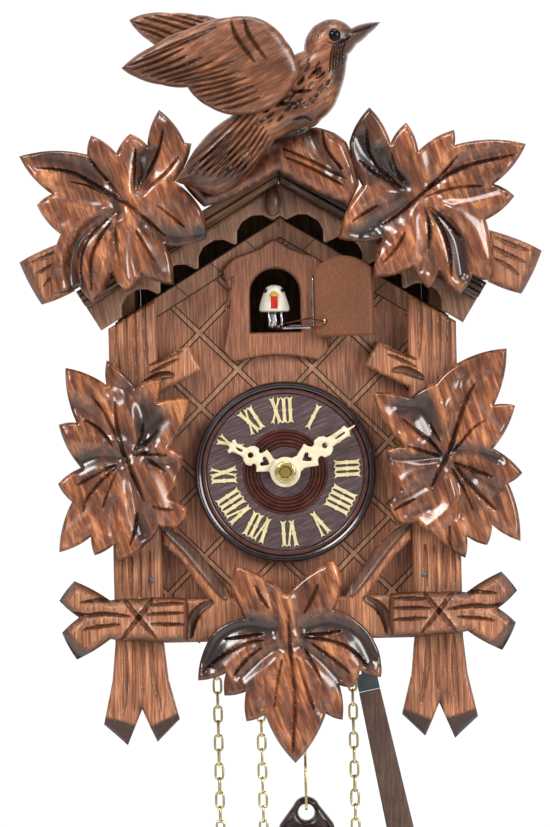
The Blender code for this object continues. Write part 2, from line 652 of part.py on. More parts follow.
def make_roof():
    moulding_back = ROOF_FRONT + MOULDING_DEPTH
    for side, word in ((-1, "left"), (1, "right")):
        board_length = -moulding_back - GAP - ROOF_FROM_WALL
        plate(f"roof_{word}_board", roof_strip(side, 0.0, ROOF_BOARD), -ROOF_FROM_WALL,
              board_length, DARK_WOOD)
        plate(f"roof_{word}_moulding", roof_strip(side, 0.0, MOULDING_FACE), moulding_back,
              MOULDING_DEPTH, DARK_WOOD)

    fascia_top = ROOF_BOARD + GAP
    slope = Vector((math.cos(ROOF_SLOPE), -math.sin(ROOF_SLOPE)))
    square = Vector((-math.sin(ROOF_SLOPE), -math.cos(ROOF_SLOPE)))
    apex = Vector((0.0, roof_line(0.0, FASCIA_FACE)))
    length = ROOF_HALF_SPAN / math.cos(ROOF_SLOPE) - FASCIA_FACE * math.tan(ROOF_SLOPE)
    lower = []
    along = PEG_RADIUS
    while along + SCALLOP_CHORD < length:
        for share in (0.0, 0.15, 0.35, 0.65, 0.85, 1.0):
            rise = SCALLOP_RISE * math.sin(math.pi * share) ** 0.6 if 0.0 < share < 1.0 else 0.0
            point = apex + slope * (along + SCALLOP_CHORD * share) - square * rise
            lower.append((point.x, point.y))
        along += SCALLOP_CHORD + SCALLOP_BRIDGE
    right = [(0.0, apex.y), *lower, roof_end(FASCIA_FACE), roof_end(fascia_top)]
    left = mirrored(right[1:])
    outline = right + [(0.0, roof_line(0.0, fascia_top))] + left
    fascia_back = moulding_back + FASCIA_BEHIND + FASCIA_THICKNESS
    fascia = as_mesh(plate("gable_fascia", outline, fascia_back, FASCIA_THICKNESS, CARVED_WOOD))

    peg_top = roof_line(DOORWAY_X - PEG_RADIUS, MOULDING_FACE) - GAP
    peg_profile = [
        (0.0, peg_top), (PEG_RADIUS * 0.8, peg_top - PEG_LENGTH * 0.2),
        (PEG_RADIUS, peg_top - PEG_LENGTH * 0.5), (PEG_RADIUS * 0.7, peg_top - PEG_LENGTH * 0.9),
        (0.0, peg_top - PEG_LENGTH),
    ]
    peg_y = fascia_back - FASCIA_THICKNESS
    join(fascia, turned("gable_peg", peg_profile, (DOORWAY_X, peg_y, 0.0), CARVED_WOOD, steps=16))


def make_frame_carvings():
    """Posts with forked feet, the lower rail with its curved stems, and the stubs of branches."""
    centre, half = POST_CENTRE, POST_HALF_WIDTH
    top = roof_line(centre + half, FASCIA_FACE) - POST_BELOW_FASCIA
    rail_top = CROSS_CENTRE_HEIGHT + RAIL_ABOVE_CROSS
    rail_bottom = CROSS_CENTRE_HEIGHT - RAIL_BELOW_CROSS
    for side, word in ((-1, "left"), (1, "right")):
        post = [
            (centre - half, top + 2 * half * math.tan(ROOF_SLOPE)),
            *shifted(mm(BRANCH_STUB), centre - half, 0.0), (centre - half, rail_bottom),
            (centre - half - FOOT_FLARE, FOOT_FLARE_HEIGHT),
            (centre + FOOT_INNER_CORNER[0], FOOT_INNER_CORNER[1]),
            (centre + FOOT_INNER_TIP, FOOT_TIP + FOOT_TIP_STEP),
            (centre + FOOT_NOTCH_OFFSET, FOOT_NOTCH), (centre + FOOT_OUTER_TIP, FOOT_TIP),
            (centre + FOOT_OUTER_CORNER[0], FOOT_OUTER_CORNER[1]),
            (centre + half + FOOT_FLARE, FOOT_FLARE_HEIGHT), (centre + half, rail_bottom),
            (centre + half, top),
        ]
        plate(f"{word}_post", post if side > 0 else mirrored(post), FRAME_BACK, FRAME_THICKNESS,
              CARVED_WOOD)

    inner = centre - half - GAP
    outline = [
        (0.0, rail_bottom), (inner, rail_bottom), (inner, rail_top),
        (inner + STEM_FOOT[0], rail_top), *shifted(mm(STEM_LOWER_EDGE), inner, 0.0),
        *shifted(mm(STEM_UPPER_EDGE), inner, 0.0), (inner + STEM_FOOT[1], rail_top),
        (0.0, rail_top),
    ]
    outline += mirrored(outline[1:-1])
    plate("lower_rail", outline, FRAME_BACK, FRAME_THICKNESS, CARVED_WOOD)


def make_leaf_layer():
    """Leaves and crossed branches that stand in front of the frame."""
    leaves = (
        ("left_side_leaf", LEFT_SIDE_LEAF, -POST_CENTRE, LEFT_SIDE_LEAF_PLACE),
        ("right_side_leaf", RIGHT_SIDE_LEAF, POST_CENTRE, RIGHT_SIDE_LEAF_PLACE),
        ("bottom_leaf", BOTTOM_LEAF, 0.0, BOTTOM_LEAF_PLACE),
    )
    for name, outline, beside, (x, z) in leaves:
        plate(name, shifted(mm(outline), beside + x, z), LEAF_BACK, LEAF_THICKNESS, CARVED_WOOD)

    z, half = CROSS_CENTRE_HEIGHT, CROSS_HALF_HEIGHT
    for side, word in ((-1, "left"), (1, "right")):
        cross = [
            *shifted(mm(CROSS_LOWER_EDGE), POST_CENTRE, z - half),
            *shifted(mm(CROSS_STUMPS), POST_CENTRE, z),
            *shifted(mm(CROSS_UPPER_EDGE), POST_CENTRE, z + half),
        ]
        plate(f"{word}_crossbranch", cross if side > 0 else mirrored(cross), LEAF_BACK,
              LEAF_THICKNESS, CARVED_WOOD)


def make_crown():
    """The carving on the roof: two big leaves, the branches between them, and the songbird."""
    leaves = (
        ("upper_left_leaf", UPPER_LEFT_LEAF, -ROOF_HALF_SPAN, UPPER_LEFT_LEAF_PLACE),
        ("upper_right_leaf", UPPER_RIGHT_LEAF, ROOF_HALF_SPAN, UPPER_RIGHT_LEAF_PLACE),
    )
    vine_back = CROWN_BACK + VINE_THICKNESS
    vine = shifted(mm(VINE_STUB), ROOF_HALF_SPAN + VINE_FROM_EAVES, 0.0)
    for name, outline, eaves, (x, z) in leaves:
        leaf = as_mesh(plate(name, shifted(mm(outline), eaves + x, z), CROWN_BACK,
                             CROWN_THICKNESS, CARVED_WOOD))
        join(leaf, plate(f"{name}_vine", vine if eaves > 0 else mirrored(vine), vine_back,
                         VINE_THICKNESS + CROWN_THICKNESS / 2, CARVED_WOOD))

    branch = [(0.0, roof_line(0.0, MOULDING_FACE / 2)), *mm(CROWN_BRANCH)]
    plate("crown_branch", branch, CROWN_BACK, CROWN_THICKNESS, CARVED_WOOD)

    plate("songbird_body", mm(SONGBIRD_BODY), BIRD_BACK, BIRD_THICKNESS, CARVED_WOOD)
    plate("songbird_near_wing", mm(SONGBIRD_NEAR_WING), WING_BACK, WING_THICKNESS, CARVED_WOOD)
    plate("songbird_far_wing", mm(SONGBIRD_FAR_WING), BIRD_BACK + GAP + WING_THICKNESS,
          WING_THICKNESS, CARVED_WOOD)


def make_doorway():
    """The board round the doorway, the door on its wire hinge, and the wire latch."""
    x = DOORWAY_X
    right = shifted(mm(DOOR_SURROUND_RIGHT), x, 0.0)
    outline = right + mirrored(right[1:-1], x)
    plate("door_surround", outline, FRONT - GAP, SURROUND_THICKNESS, PANEL_WOOD,
          holes=(doorway_outline(),))

    hinge = empty("door_hinge", (HINGE_X, HINGE_Y, 0.0), DIAL_CENTRE)
    hinge.rotation_euler = (0.0, 0.0, DOOR_OPEN_ANGLE)
    half = DOORWAY_WIDTH / 2 + DOOR_LAP
    near, far = HINGE_X - HINGE_EDGE, HINGE_X - HINGE_EDGE - 2 * half
    shoulder, top = DOORWAY_TOP - DOOR_SHOULDER_DROP, DOORWAY_TOP + DOOR_ARCH_RISE
    rise = top - shoulder
    radius = (half ** 2 + rise ** 2) / (2 * rise)
    sweep = math.asin(half / radius)
    crown = arc((near + far) / 2, top - radius, radius, math.pi / 2 - sweep, math.pi / 2 + sweep, 9)
    foot = DOORWAY_BOTTOM - DOOR_LAP_BELOW
    door_outline = [(far, foot), (near, foot), *crown]
    door = as_mesh(plate("cuckoo_door", door_outline, HINGE_Y + DOOR_THICKNESS / 2,
                         DOOR_THICKNESS, PANEL_WOOD, frame=hinge))
    inner_face = HINGE_Y + DOOR_THICKNESS / 2
    staple_x = HINGE_X - STAPLE_REACH
    low, high = STAPLE_HEIGHTS
    root, bow = inner_face - STAPLE_SUNK, inner_face + STAPLE_DEPTH
    staple = rod("door_staple", [
        (staple_x, root, high), (staple_x, bow, high), (staple_x, bow, low), (staple_x, root, low),
    ], STAPLE_WIRE, BRASS, frame=hinge)
    join(door, staple)

    eye_y = SURROUND_FRONT - GAP - HINGE_WIRE_RADIUS / 2
    rod("door_hinge_wire", [
        (HINGE_X, eye_y, HINGE_EYES[0]), (HINGE_X, HINGE_Y, HINGE_TURNS[0]),
        (HINGE_X, HINGE_Y, HINGE_TURNS[1]), (HINGE_X, eye_y, HINGE_EYES[1]),
    ], HINGE_WIRE_RADIUS, STEEL)

    latch_y = HINGE_Y - DOOR_THICKNESS / 2 - LATCH_CLEARANCE - LATCH_WIRE
    latch = empty("latch_pin", (x + LATCH_PIN[0], latch_y, LATCH_PIN[1]), DIAL_CENTRE)
    lx, ly, lz = latch.location
    rod("door_latch", [
        (lx, SURROUND_FRONT - GAP - LATCH_WIRE / 2, lz),
        *((lx + across, ly, lz + up) for across, up in mm(LATCH_FINGER)),
    ], LATCH_WIRE, STEEL, frame=latch)


def make_cuckoo():
    """The cuckoo on its perch, the arm that swings it out, and the wire that pulls the door."""
    pivot_x, pivot_y = CUCKOO_PIVOT_X, CUCKOO_PIVOT_Y
    foot = PLATE_TOP + GAP
    bracket = box("cuckoo_bracket",
                  (pivot_x - BRACKET_HALF_WIDTH, pivot_y - BRACKET_FRONT, foot),
                  (pivot_x + BRACKET_HALF_WIDTH, FRONT_PLATE_Y + PLATE_THICKNESS,
                   foot + BRACKET_THICKNESS), BRASS)
    join(bracket, cylinder("cuckoo_pivot_rod", (pivot_x, pivot_y, foot + BRACKET_THICKNESS / 2),
                           (pivot_x, pivot_y, foot + PIVOT_ROD_HEIGHT), PIVOT_ROD_RADIUS, STEEL,
                           sides=16))

    pivot = empty("cuckoo_pivot", (pivot_x, pivot_y, 0.0), DIAL_CENTRE)
    perch = Vector((DOORWAY_X + PERCH_OFFSET[0], FRONT + PERCH_OFFSET[1], ARM_HEIGHT))
    bore = PIVOT_ROD_RADIUS + PIVOT_CLEARANCE
    half = SLEEVE_HALF_HEIGHT
    sleeve = turned("cuckoo_arm", [
        (SLEEVE_RADIUS, half), (SLEEVE_RADIUS, -half), (bore, -half), (bore, half),
    ], (pivot_x, pivot_y, ARM_HEIGHT), STEEL, steps=20, frame=pivot, hollow=True)
    elbow = Vector((DOORWAY_X + DOORWAY_WIDTH / 4, pivot_y, ARM_HEIGHT))
    arm = rod("arm_wire", [
        Vector((pivot_x - SLEEVE_RADIUS + ARM_WIRE / 2, pivot_y, ARM_HEIGHT)), elbow, perch,
        perch + Vector((0.0, 0.0, CUCKOO_HEIGHT - CUCKOO_SIZE[2] - GAP - ARM_HEIGHT)),
    ], ARM_WIRE, STEEL, frame=pivot)
    join(sleeve, arm)

    link_end = Vector((HINGE_X, HINGE_Y, ARM_HEIGHT)) + Vector(LINK_END)
    leave = perch + Vector(LINK_START)
    join(sleeve, rod("door_link_wire", [
        leave, Vector((DOORWAY_X + LINK_BEND[0], HINGE_Y + LINK_BEND[1], link_end.z)), link_end,
    ], LINK_WIRE, STEEL, frame=pivot))

    shape = bmesh.new()
    bmesh.ops.create_uvsphere(shape, u_segments=16, v_segments=10, radius=1.0)
    bmesh.ops.scale(shape, vec=CUCKOO_SIZE, verts=shape.verts)
    mesh = bpy.data.meshes.new("cuckoo")
    shape.to_mesh(mesh)
    shape.free()
    add("cuckoo", mesh, (perch.x, perch.y, CUCKOO_HEIGHT), WHITE, pivot)


def hand_outline(length, boss):
    """A lobed hand pointing up from its boss."""
    half = [
        (boss * 0.55, boss * 0.83), (0.0022, boss * 1.25), (0.0042, length * 0.42),
        (0.0022, length * 0.50), (0.0034, length * 0.60), (0.0020, length * 0.70),
        (0.0013, length * 0.84), (0.0006, length),
    ]
    left = [(-x, z) for x, z in reversed(half)]
    lower = arc(0.0, 0.0, boss, math.radians(124.0), math.radians(416.0), 17)
    return half + left + lower


def make_dial_and_hands():
    bore = HOUR_PIPE_RADIUS + PIVOT_CLEARANCE + HAND_PLAY
    back, face, field = 0.0, DIAL_THICKNESS, DIAL_THICKNESS - DIAL_FIELD_DEPTH
    dial_profile = [
        (bore, field), (DIAL_RADIUS - DIAL_RIM_WIDTH, field),
        (DIAL_RADIUS - 0.0020, face), (DIAL_RADIUS - 0.0005, face - 0.0008),
        (DIAL_RADIUS, face - 0.0025), (DIAL_RADIUS, back), (bore, back),
    ]
    turned("dial", dial_profile, (0.0, FRONT - GAP, 0.0), DIAL_WOOD, steps=48,
           towards_front=True, hollow=True)

    hour_back = DIAL_FRONT - HAND_BEHIND_RIM
    minute_back = hour_back - HAND_THICKNESS - HAND_SPACING
    minute_frame = empty("minute_arbor", (0.0, 0.0, 0.0), DIAL_CENTRE)
    minute_frame.rotation_euler = (0.0, MINUTE_HAND_ANGLE, 0.0)
    hour_frame = empty("hour_arbor", (0.0, 0.0, 0.0), DIAL_CENTRE)
    hour_frame.rotation_euler = (0.0, HOUR_HAND_ANGLE, 0.0)
    plate("minute_hand", hand_outline(MINUTE_HAND_LENGTH, MINUTE_HAND_BOSS), minute_back,
          HAND_THICKNESS, IVORY, frame=minute_frame,
          holes=(circle(0.0, 0.0, CENTRE_ARBOR_RADIUS + HAND_PLAY),))
    plate("hour_hand", hand_outline(HOUR_HAND_LENGTH, HOUR_HAND_BOSS), hour_back, HAND_THICKNESS,
          IVORY, frame=hour_frame, holes=(circle(0.0, 0.0, HOUR_PIPE_RADIUS + HAND_PLAY),))

    nut_back = minute_back - HAND_THICKNESS - GAP
    nut_bore = CENTRE_ARBOR_RADIUS + HAND_PLAY
    turned("hand_nut", [
        (NUT_RADIUS, NUT_THICKNESS), (NUT_RADIUS, 0.0), (nut_bore, 0.0), (nut_bore, NUT_THICKNESS),
    ], (0.0, nut_back, 0.0), BRASS, steps=24, towards_front=True, frame=minute_frame, hollow=True)

    pipe_bore = CENTRE_ARBOR_RADIUS + PIVOT_CLEARANCE
    pipe_back = FRONT_PLATE_Y - 0.0008
    pipe_length = pipe_back - (hour_back - HAND_THICKNESS)
    wheel = HOUR_WHEEL_RADIUS
    turned("hour_wheel", [
        (HOUR_PIPE_RADIUS, pipe_length), (HOUR_PIPE_RADIUS, WHEEL_THICKNESS),
        (wheel, WHEEL_THICKNESS),
        (wheel, 0.0), (pipe_bore, 0.0), (pipe_bore, pipe_length),
    ], (0.0, pipe_back, 0.0), BRASS, steps=32, towards_front=True, frame=hour_frame, hollow=True)
    return minute_frame, nut_back - ARBOR_PAST_NUT


def toothed(radius, teeth, depth=TOOTH_DEPTH):
    """Outline of a wheel with pointed teeth that reach the radius."""
    points = []
    for i in range(teeth):
        for share, reach in ((0.0, radius), (0.5, radius - depth)):
            angle = 2 * math.pi * (i + share) / teeth
            points.append((reach * math.cos(angle), reach * math.sin(angle)))
    return points


def wheel(name, x, z, radius, teeth, back, arbor, look=BRASS, frame=None):
    """A wheel on its arbor; arbor is (front end, back end, radius)."""
    outline = shifted(toothed(radius, teeth), x, z)
    made = as_mesh(plate(name, outline, back, WHEEL_THICKNESS, look, frame=frame))
    front_end, back_end, arbor_radius = arbor
    return join(made, cylinder(name + "_arbor", (x, front_end, z), (x, back_end, z),
                               arbor_radius, STEEL, sides=16, frame=frame))


def make_movement(minute_frame, hand_end):
    front, back = FRONT_PLATE_Y, BACK_PLATE_Y
    front_end = front - ARBOR_PAST_PLATE
    back_end = back + PLATE_THICKNESS + ARBOR_PAST_PLATE
    left_x, right_x = sum(LEFT_CHAIN) / 2, sum(RIGHT_CHAIN) / 2
    great_z = GREAT_WHEEL_HEIGHT
    inside = front + PLATE_THICKNESS
    fly_x, fly_z = left_x - FLY_FROM_GREAT_ARBOR, 0.0

    outline = [
        (-PLATE_HALF_WIDTH, PLATE_BOTTOM), (PLATE_HALF_WIDTH, PLATE_BOTTOM),
        (PLATE_HALF_WIDTH, PLATE_TOP), (-PLATE_HALF_WIDTH, PLATE_TOP),
    ]
    pivots = (
        (left_x, great_z, ARBOR_RADIUS), (right_x, great_z, ARBOR_RADIUS),
        (fly_x, fly_z, ARBOR_RADIUS), (PENDULUM_X, ESCAPE_WHEEL_HEIGHT, ARBOR_RADIUS),
        (PENDULUM_X, PENDULUM_PIVOT_HEIGHT, ARBOR_RADIUS), (0.0, 0.0, CENTRE_ARBOR_RADIUS),
    )
    holes = [circle(x, z, radius + PIVOT_CLEARANCE, 12) for x, z, radius in pivots]
    front_plate = as_mesh(plate("movement_front_plate", outline, front + PLATE_THICKNESS,
                                PLATE_THICKNESS, BRASS, holes=holes))
    for number, (sx, z) in enumerate(((-1, PLATE_BOTTOM), (1, PLATE_BOTTOM), (-1, PLATE_TOP),
                                      (1, PLATE_TOP))):
        x = sx * (PLATE_HALF_WIDTH - PILLAR_INSET)
        pillar_z = z - math.copysign(PILLAR_INSET, z)
        pillar = cylinder(f"pillar_{number}", (x, front + PLATE_THICKNESS / 2, pillar_z),
                          (x, back - GAP, pillar_z), PILLAR_RADIUS, BRASS, sides=12)
        join(front_plate, pillar)
    plate("movement_back_plate", outline, back + PLATE_THICKNESS, PLATE_THICKNESS, BRASS,
          holes=holes)

    for word, x, (weight_x, free_x), wheel_back in (
        ("strike", left_x, LEFT_CHAIN, inside + STRIKE_WHEEL_BEHIND),
        ("time", right_x, RIGHT_CHAIN, inside + TIME_WHEEL_BEHIND),
    ):
        frame = empty(f"{word}_great_arbor", (x, 0.0, great_z), DIAL_CENTRE)
        made = wheel(f"{word}_great_wheel", x, great_z, GREAT_WHEEL_RADIUS, GREAT_WHEEL_TEETH,
                     wheel_back, (front_end, back_end, ARBOR_RADIUS), frame=frame)
        sprocket = abs(free_x - weight_x) / 2 - CHAIN_HALF_WIDTH - GAP
        join(made, cylinder(f"{word}_sprocket", (x, CHAIN_Y - SPROCKET_HALF_WIDTH, great_z),
                            (x, CHAIN_Y + SPROCKET_HALF_WIDTH, great_z), sprocket, BRASS,
                            frame=frame))

    centre_back = inside + CENTRE_WHEEL_BEHIND
    centre = wheel("centre_wheel", 0.0, 0.0, CENTRE_WHEEL_RADIUS, CENTRE_WHEEL_TEETH,
                   centre_back, (hand_end, back_end, CENTRE_ARBOR_RADIUS), frame=minute_frame)
    pinion_front = inside + CENTRE_PINION_BEHIND
    join(centre, cylinder("centre_pinion", (0.0, pinion_front, 0.0),
                          (0.0, pinion_front + CENTRE_PINION_LENGTH, 0.0),
                          CENTRE_PINION_RADIUS, STEEL, sides=20, frame=minute_frame))

    escape_frame = empty("escape_arbor", (PENDULUM_X, 0.0, ESCAPE_WHEEL_HEIGHT), DIAL_CENTRE)
    escape = wheel("escape_wheel", PENDULUM_X, ESCAPE_WHEEL_HEIGHT, ESCAPE_WHEEL_RADIUS,
                   ESCAPE_WHEEL_TEETH, centre_back + ESCAPE_WHEEL_BEHIND,
                   (front_end, back_end, ARBOR_RADIUS), frame=escape_frame)
    reach = math.hypot(PENDULUM_X, ESCAPE_WHEEL_HEIGHT)
    pinion = reach - CENTRE_WHEEL_RADIUS - GAP
    join(escape, cylinder("escape_pinion", (PENDULUM_X, centre_back - 0.0030, ESCAPE_WHEEL_HEIGHT),
                          (PENDULUM_X, centre_back + 0.0008, ESCAPE_WHEEL_HEIGHT), pinion, STEEL,
                          frame=escape_frame))

    fly_frame = empty("fly_arbor", (fly_x, 0.0, fly_z), DIAL_CENTRE)
    fly = box("strike_fly", (fly_x - FLY_HALF_WIDTH, centre_back - 0.0060, fly_z - FLY_HALF_THICKNESS),
              (fly_x + FLY_HALF_WIDTH, centre_back + 0.0010, fly_z + FLY_HALF_THICKNESS), BRASS,
              fly_frame)
    join(fly, cylinder("fly_arbor_bar", (fly_x, front_end, fly_z), (fly_x, back_end, fly_z),
                       ARBOR_RADIUS, STEEL, sides=16, frame=fly_frame))


def make_pendulum():
    """Hung straight down from its pivot, then swung to the side by the pivot's frame."""
    x, top = PENDULUM_X, PENDULUM_PIVOT_HEIGHT
    pivot = empty("pendulum_pivot", (x, 0.0, top), DIAL_CENTRE)
    pivot.rotation_euler = (0.0, -PENDULUM_SWING, 0.0)
    drop = top - ESCAPE_WHEEL_HEIGHT
    reach = ESCAPE_WHEEL_RADIUS + ANCHOR_PAST_WHEEL
    inner = reach - ANCHOR_PALLET_WIDTH
    pallet = top - drop * ANCHOR_DROP_SHARE
    anchor_outline = [
        (x - reach, pallet), (x - inner, pallet), *shifted(mm(ANCHOR_UNDERSIDE), x, top),
        (x + inner, pallet), (x + reach, pallet), *shifted(mm(ANCHOR_TOP), x, top),
    ]
    anchor_back = BACK_PLATE_Y - ANCHOR_BEHIND
    anchor = as_mesh(plate("anchor", anchor_outline, anchor_back, ANCHOR_THICKNESS, STEEL,
                           frame=pivot))
    join(anchor, cylinder("anchor_arbor", (x, FRONT_PLATE_Y - ARBOR_PAST_PLATE, top),
                          (x, PENDULUM_Y + 0.0040, top), ARBOR_RADIUS, STEEL, sides=16,
                          frame=pivot))

    hook = top - ARBOR_RADIUS - GAP
    leader_end = top - LEADER_LENGTH
    leader = box("pendulum_leader",
                 (x - LEADER_HALF_WIDTH, PENDULUM_Y - LEADER_THICKNESS / 2, leader_end),
                 (x + LEADER_HALF_WIDTH, PENDULUM_Y + LEADER_THICKNESS / 2, hook), STEEL, pivot)

    back = PENDULUM_Y + STICK_THICKNESS / 2
    plate_top = leader_end + 0.0005
    plate_end = plate_top - STICK_TOP_PLATE
    half = STICK_TOP_HALF_WIDTH
    join(leader, box("stick_top_plate", (x - half, PENDULUM_Y - STICK_THICKNESS / 2, plate_end),
                     (x + half, back, plate_top), STEEL, pivot))
    stick_top = plate_end - GAP
    stick_end = stick_top - STICK_LENGTH
    plate("pendulum_stick", [
        (x - STICK_END_HALF_WIDTH, stick_end), (x + STICK_END_HALF_WIDTH, stick_end),
        (x + half, stick_top), (x - half, stick_top),
    ], back, STICK_THICKNESS, STICK_WOOD, frame=pivot)
    leaf = shifted(mm(BOB_LEAF), x, top - BOB_FROM_PIVOT)
    plate("pendulum_bob", leaf, PENDULUM_Y - STICK_THICKNESS / 2 - GAP, BOB_THICKNESS,
          CARVED_WOOD, frame=pivot)


def make_chains_and_weights():
    for word, (weight_x, free_x), weight_top in (
        ("left", LEFT_CHAIN, LEFT_WEIGHT_TOP), ("right", RIGHT_CHAIN, RIGHT_WEIGHT_TOP),
    ):
        start = GREAT_WHEEL_HEIGHT
        hole_z = weight_top - WEIGHT_LOOP_RADIUS
        hook_low = hole_z + 0.0006
        hook_top = hook_low + HOOK_LENGTH
        reach = WEIGHT_LOOP_THICKNESS / 2 + 0.0012
        thin = HOOK_WIRE / CHAIN_HALF_WIDTH
        y = CHAIN_Y
        path = [
            (weight_x, y, start), (weight_x, y, hook_top + 0.0006), (weight_x, y, hook_top),
            (weight_x, y - reach, hook_top - 0.006), (weight_x, y - reach, hook_low + 0.0015),
            (weight_x, y - reach * 0.6, hook_low + 0.0003), (weight_x, y, hook_low),
            (weight_x, y + reach * 0.6, hook_low + 0.0003), (weight_x, y + reach, hook_low + 0.0020),
        ]
        rod(f"{word}_chain_weight_side", path, CHAIN_HALF_WIDTH, BRASS,
            shares=[1.0, 1.0] + [thin] * 7)
        free = as_mesh(rod(f"{word}_chain_free_side",
                           [(free_x, y, start), (free_x, y, FREE_CHAIN_END)],
                           CHAIN_HALF_WIDTH, BRASS))
        ring_z = FREE_CHAIN_END - RING_RADIUS + RING_WIRE
        ring = [(RING_RADIUS * math.cos(a), RING_RADIUS * math.sin(a))
                for a in (2 * math.pi * (i + 0.5) / 22 for i in range(22))]
        loop = rod(f"{word}_chain_ring", [(free_x, y + ry, ring_z + rz) for ry, rz in ring],
                   RING_WIRE, BRASS)
        loop.data.splines[0].use_cyclic_u = True
        loop.data.use_fill_caps = False
        join(free, loop)

        neck = weight_top - 2 * WEIGHT_LOOP_RADIUS + 0.0004
        r, low = WEIGHT_RADIUS, weight_top - WEIGHT_LENGTH
        length = neck - low
        profile = [
            (0.0, neck), (0.0048, neck - 0.0004), (r * 0.74, neck - length * 0.08),
            (r * 0.96, neck - length * 0.22), (r, neck - length * 0.38),
            (r * 0.95, neck - length * 0.56), (r * 0.80, neck - length * 0.73),
            (r * 0.55, neck - length * 0.88), (r * 0.25, neck - length * 0.97), (0.0, low),
        ]
        weight = turned(f"{word}_weight", profile, (weight_x, y, 0.0), CAST_IRON, steps=24)
        lug = [
            (weight_x - 0.0090, neck - 0.0050), (weight_x + 0.0090, neck - 0.0050),
            *arc(weight_x, hole_z, WEIGHT_LOOP_RADIUS, math.radians(-5.0), math.radians(185.0), 13),
        ]
        loop = plate(f"{word}_weight_loop", lug, y + WEIGHT_LOOP_THICKNESS / 2,
                     WEIGHT_LOOP_THICKNESS, CAST_IRON,
                     holes=(circle(weight_x, hole_z, WEIGHT_LOOP_HOLE),))
        join(weight, loop)


def make_gong_and_hammer():
    y = -GONG_FROM_WALL
    steps = GONG_TURNS * 20
    spiral = []
    for i in range(steps + 1):
        angle = 2 * math.pi * i / 20
        radius = GONG_RADIUS - GONG_PITCH * i / 20
        spiral.append((GONG_X + radius * math.cos(angle), y, GONG_HEIGHT + radius * math.sin(angle)))
    gong = as_mesh(rod("gong", spiral, GONG_WIRE, STEEL))
    stand_back, bar = y + 0.0070, 0.0015
    stand = box("gong_stand", (GONG_X - 0.0020, y + GONG_WIRE + GAP, CASE_BOTTOM + BOARD + GAP),
                (GONG_X + 0.0020, stand_back, GONG_HEIGHT + bar), STEEL)
    join(stand, box("gong_bar", (GONG_X - 0.0010, y - GONG_WIRE / 2, GONG_HEIGHT - bar),
                    (spiral[-1][0] + GONG_WIRE / 2, stand_back - 0.001, GONG_HEIGHT + bar / 2),
                    STEEL))
    join(gong, stand)

    pivot = empty("hammer_pivot", (HAMMER_X, 0.0, HAMMER_PIVOT_HEIGHT), DIAL_CENTRE)
    head_z = GONG_HEIGHT + GONG_RADIUS + GONG_WIRE + HAMMER_HEAD_RADIUS + 0.0010
    head = cylinder("gong_hammer", (HAMMER_X, y - 0.004, head_z), (HAMMER_X, y + 0.004, head_z),
                    HAMMER_HEAD_RADIUS, BRASS, sides=16, frame=pivot)
    join(head, rod("hammer_wire", [
        (HAMMER_X, BACK_PLATE_Y + PLATE_THICKNESS + GAP, HAMMER_PIVOT_HEIGHT),
        (HAMMER_X, y, HAMMER_PIVOT_HEIGHT), (HAMMER_X, y, head_z),
    ], 0.0007, STEEL, frame=pivot))


def make_bellows():
    floor = CASE_BOTTOM + BOARD + GAP
    inner = CASE_HALF_WIDTH - BOARD
    back = BELLOWS_FRONT + BELLOWS_DEPTH
    for side, word in ((-1, "left"), (1, "right")):
        outside = side * (inner - GAP)
        inside = side * (PLATE_HALF_WIDTH + GAP)
        low_x, high_x = min(outside, inside), max(outside, inside)
        pipe = box(f"{word}_bellows_pipe", (low_x, BELLOWS_FRONT, floor),
                   (high_x, back, BELLOWS_TOP), PLAIN_WOOD)
        cut(pipe, box(f"{word}_pipe_mouth",
                      (low_x + 0.0025, BELLOWS_FRONT - 0.001, BELLOWS_TOP - 0.030),
                      (high_x - 0.0025, back - 0.0025, BELLOWS_TOP - 0.030 + PIPE_MOUTH),
                      PLAIN_WOOD))
        lid_low = BELLOWS_TOP + GAP
        hinge = empty(f"{word}_bellows_hinge", (0.0, back, lid_low), DIAL_CENTRE)
        box(f"{word}_bellows_lid", (low_x, BELLOWS_FRONT, lid_low),
            (high_x, back, lid_low + BELLOWS_LID), PLAIN_WOOD, hinge)


def smooth_round_pieces():
    for piece in PARTS.objects:
        if piece.type == "MESH":
            piece.data.shade_smooth()
            piece.data.set_sharp_from_angle(angle=math.radians(30.0))


clear_scene()
PARTS = new_collection("cuckoo_clock")
CUTTERS = new_collection("cutters")
DIAL_CENTRE = empty("dial_centre", (0.0, 0.0, -DIAL_BELOW_HANGER))
make_case()
make_roof()
make_frame_carvings()
make_leaf_layer()
make_crown()
make_doorway()
make_cuckoo()
hands = make_dial_and_hands()
make_movement(*hands)
make_pendulum()
make_chains_and_weights()
make_gong_and_hammer()
make_bellows()
smooth_round_pieces()
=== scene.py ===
import math

import bmesh
import bpy
import numpy as np
from mathutils import Matrix, Vector, geometry, kdtree


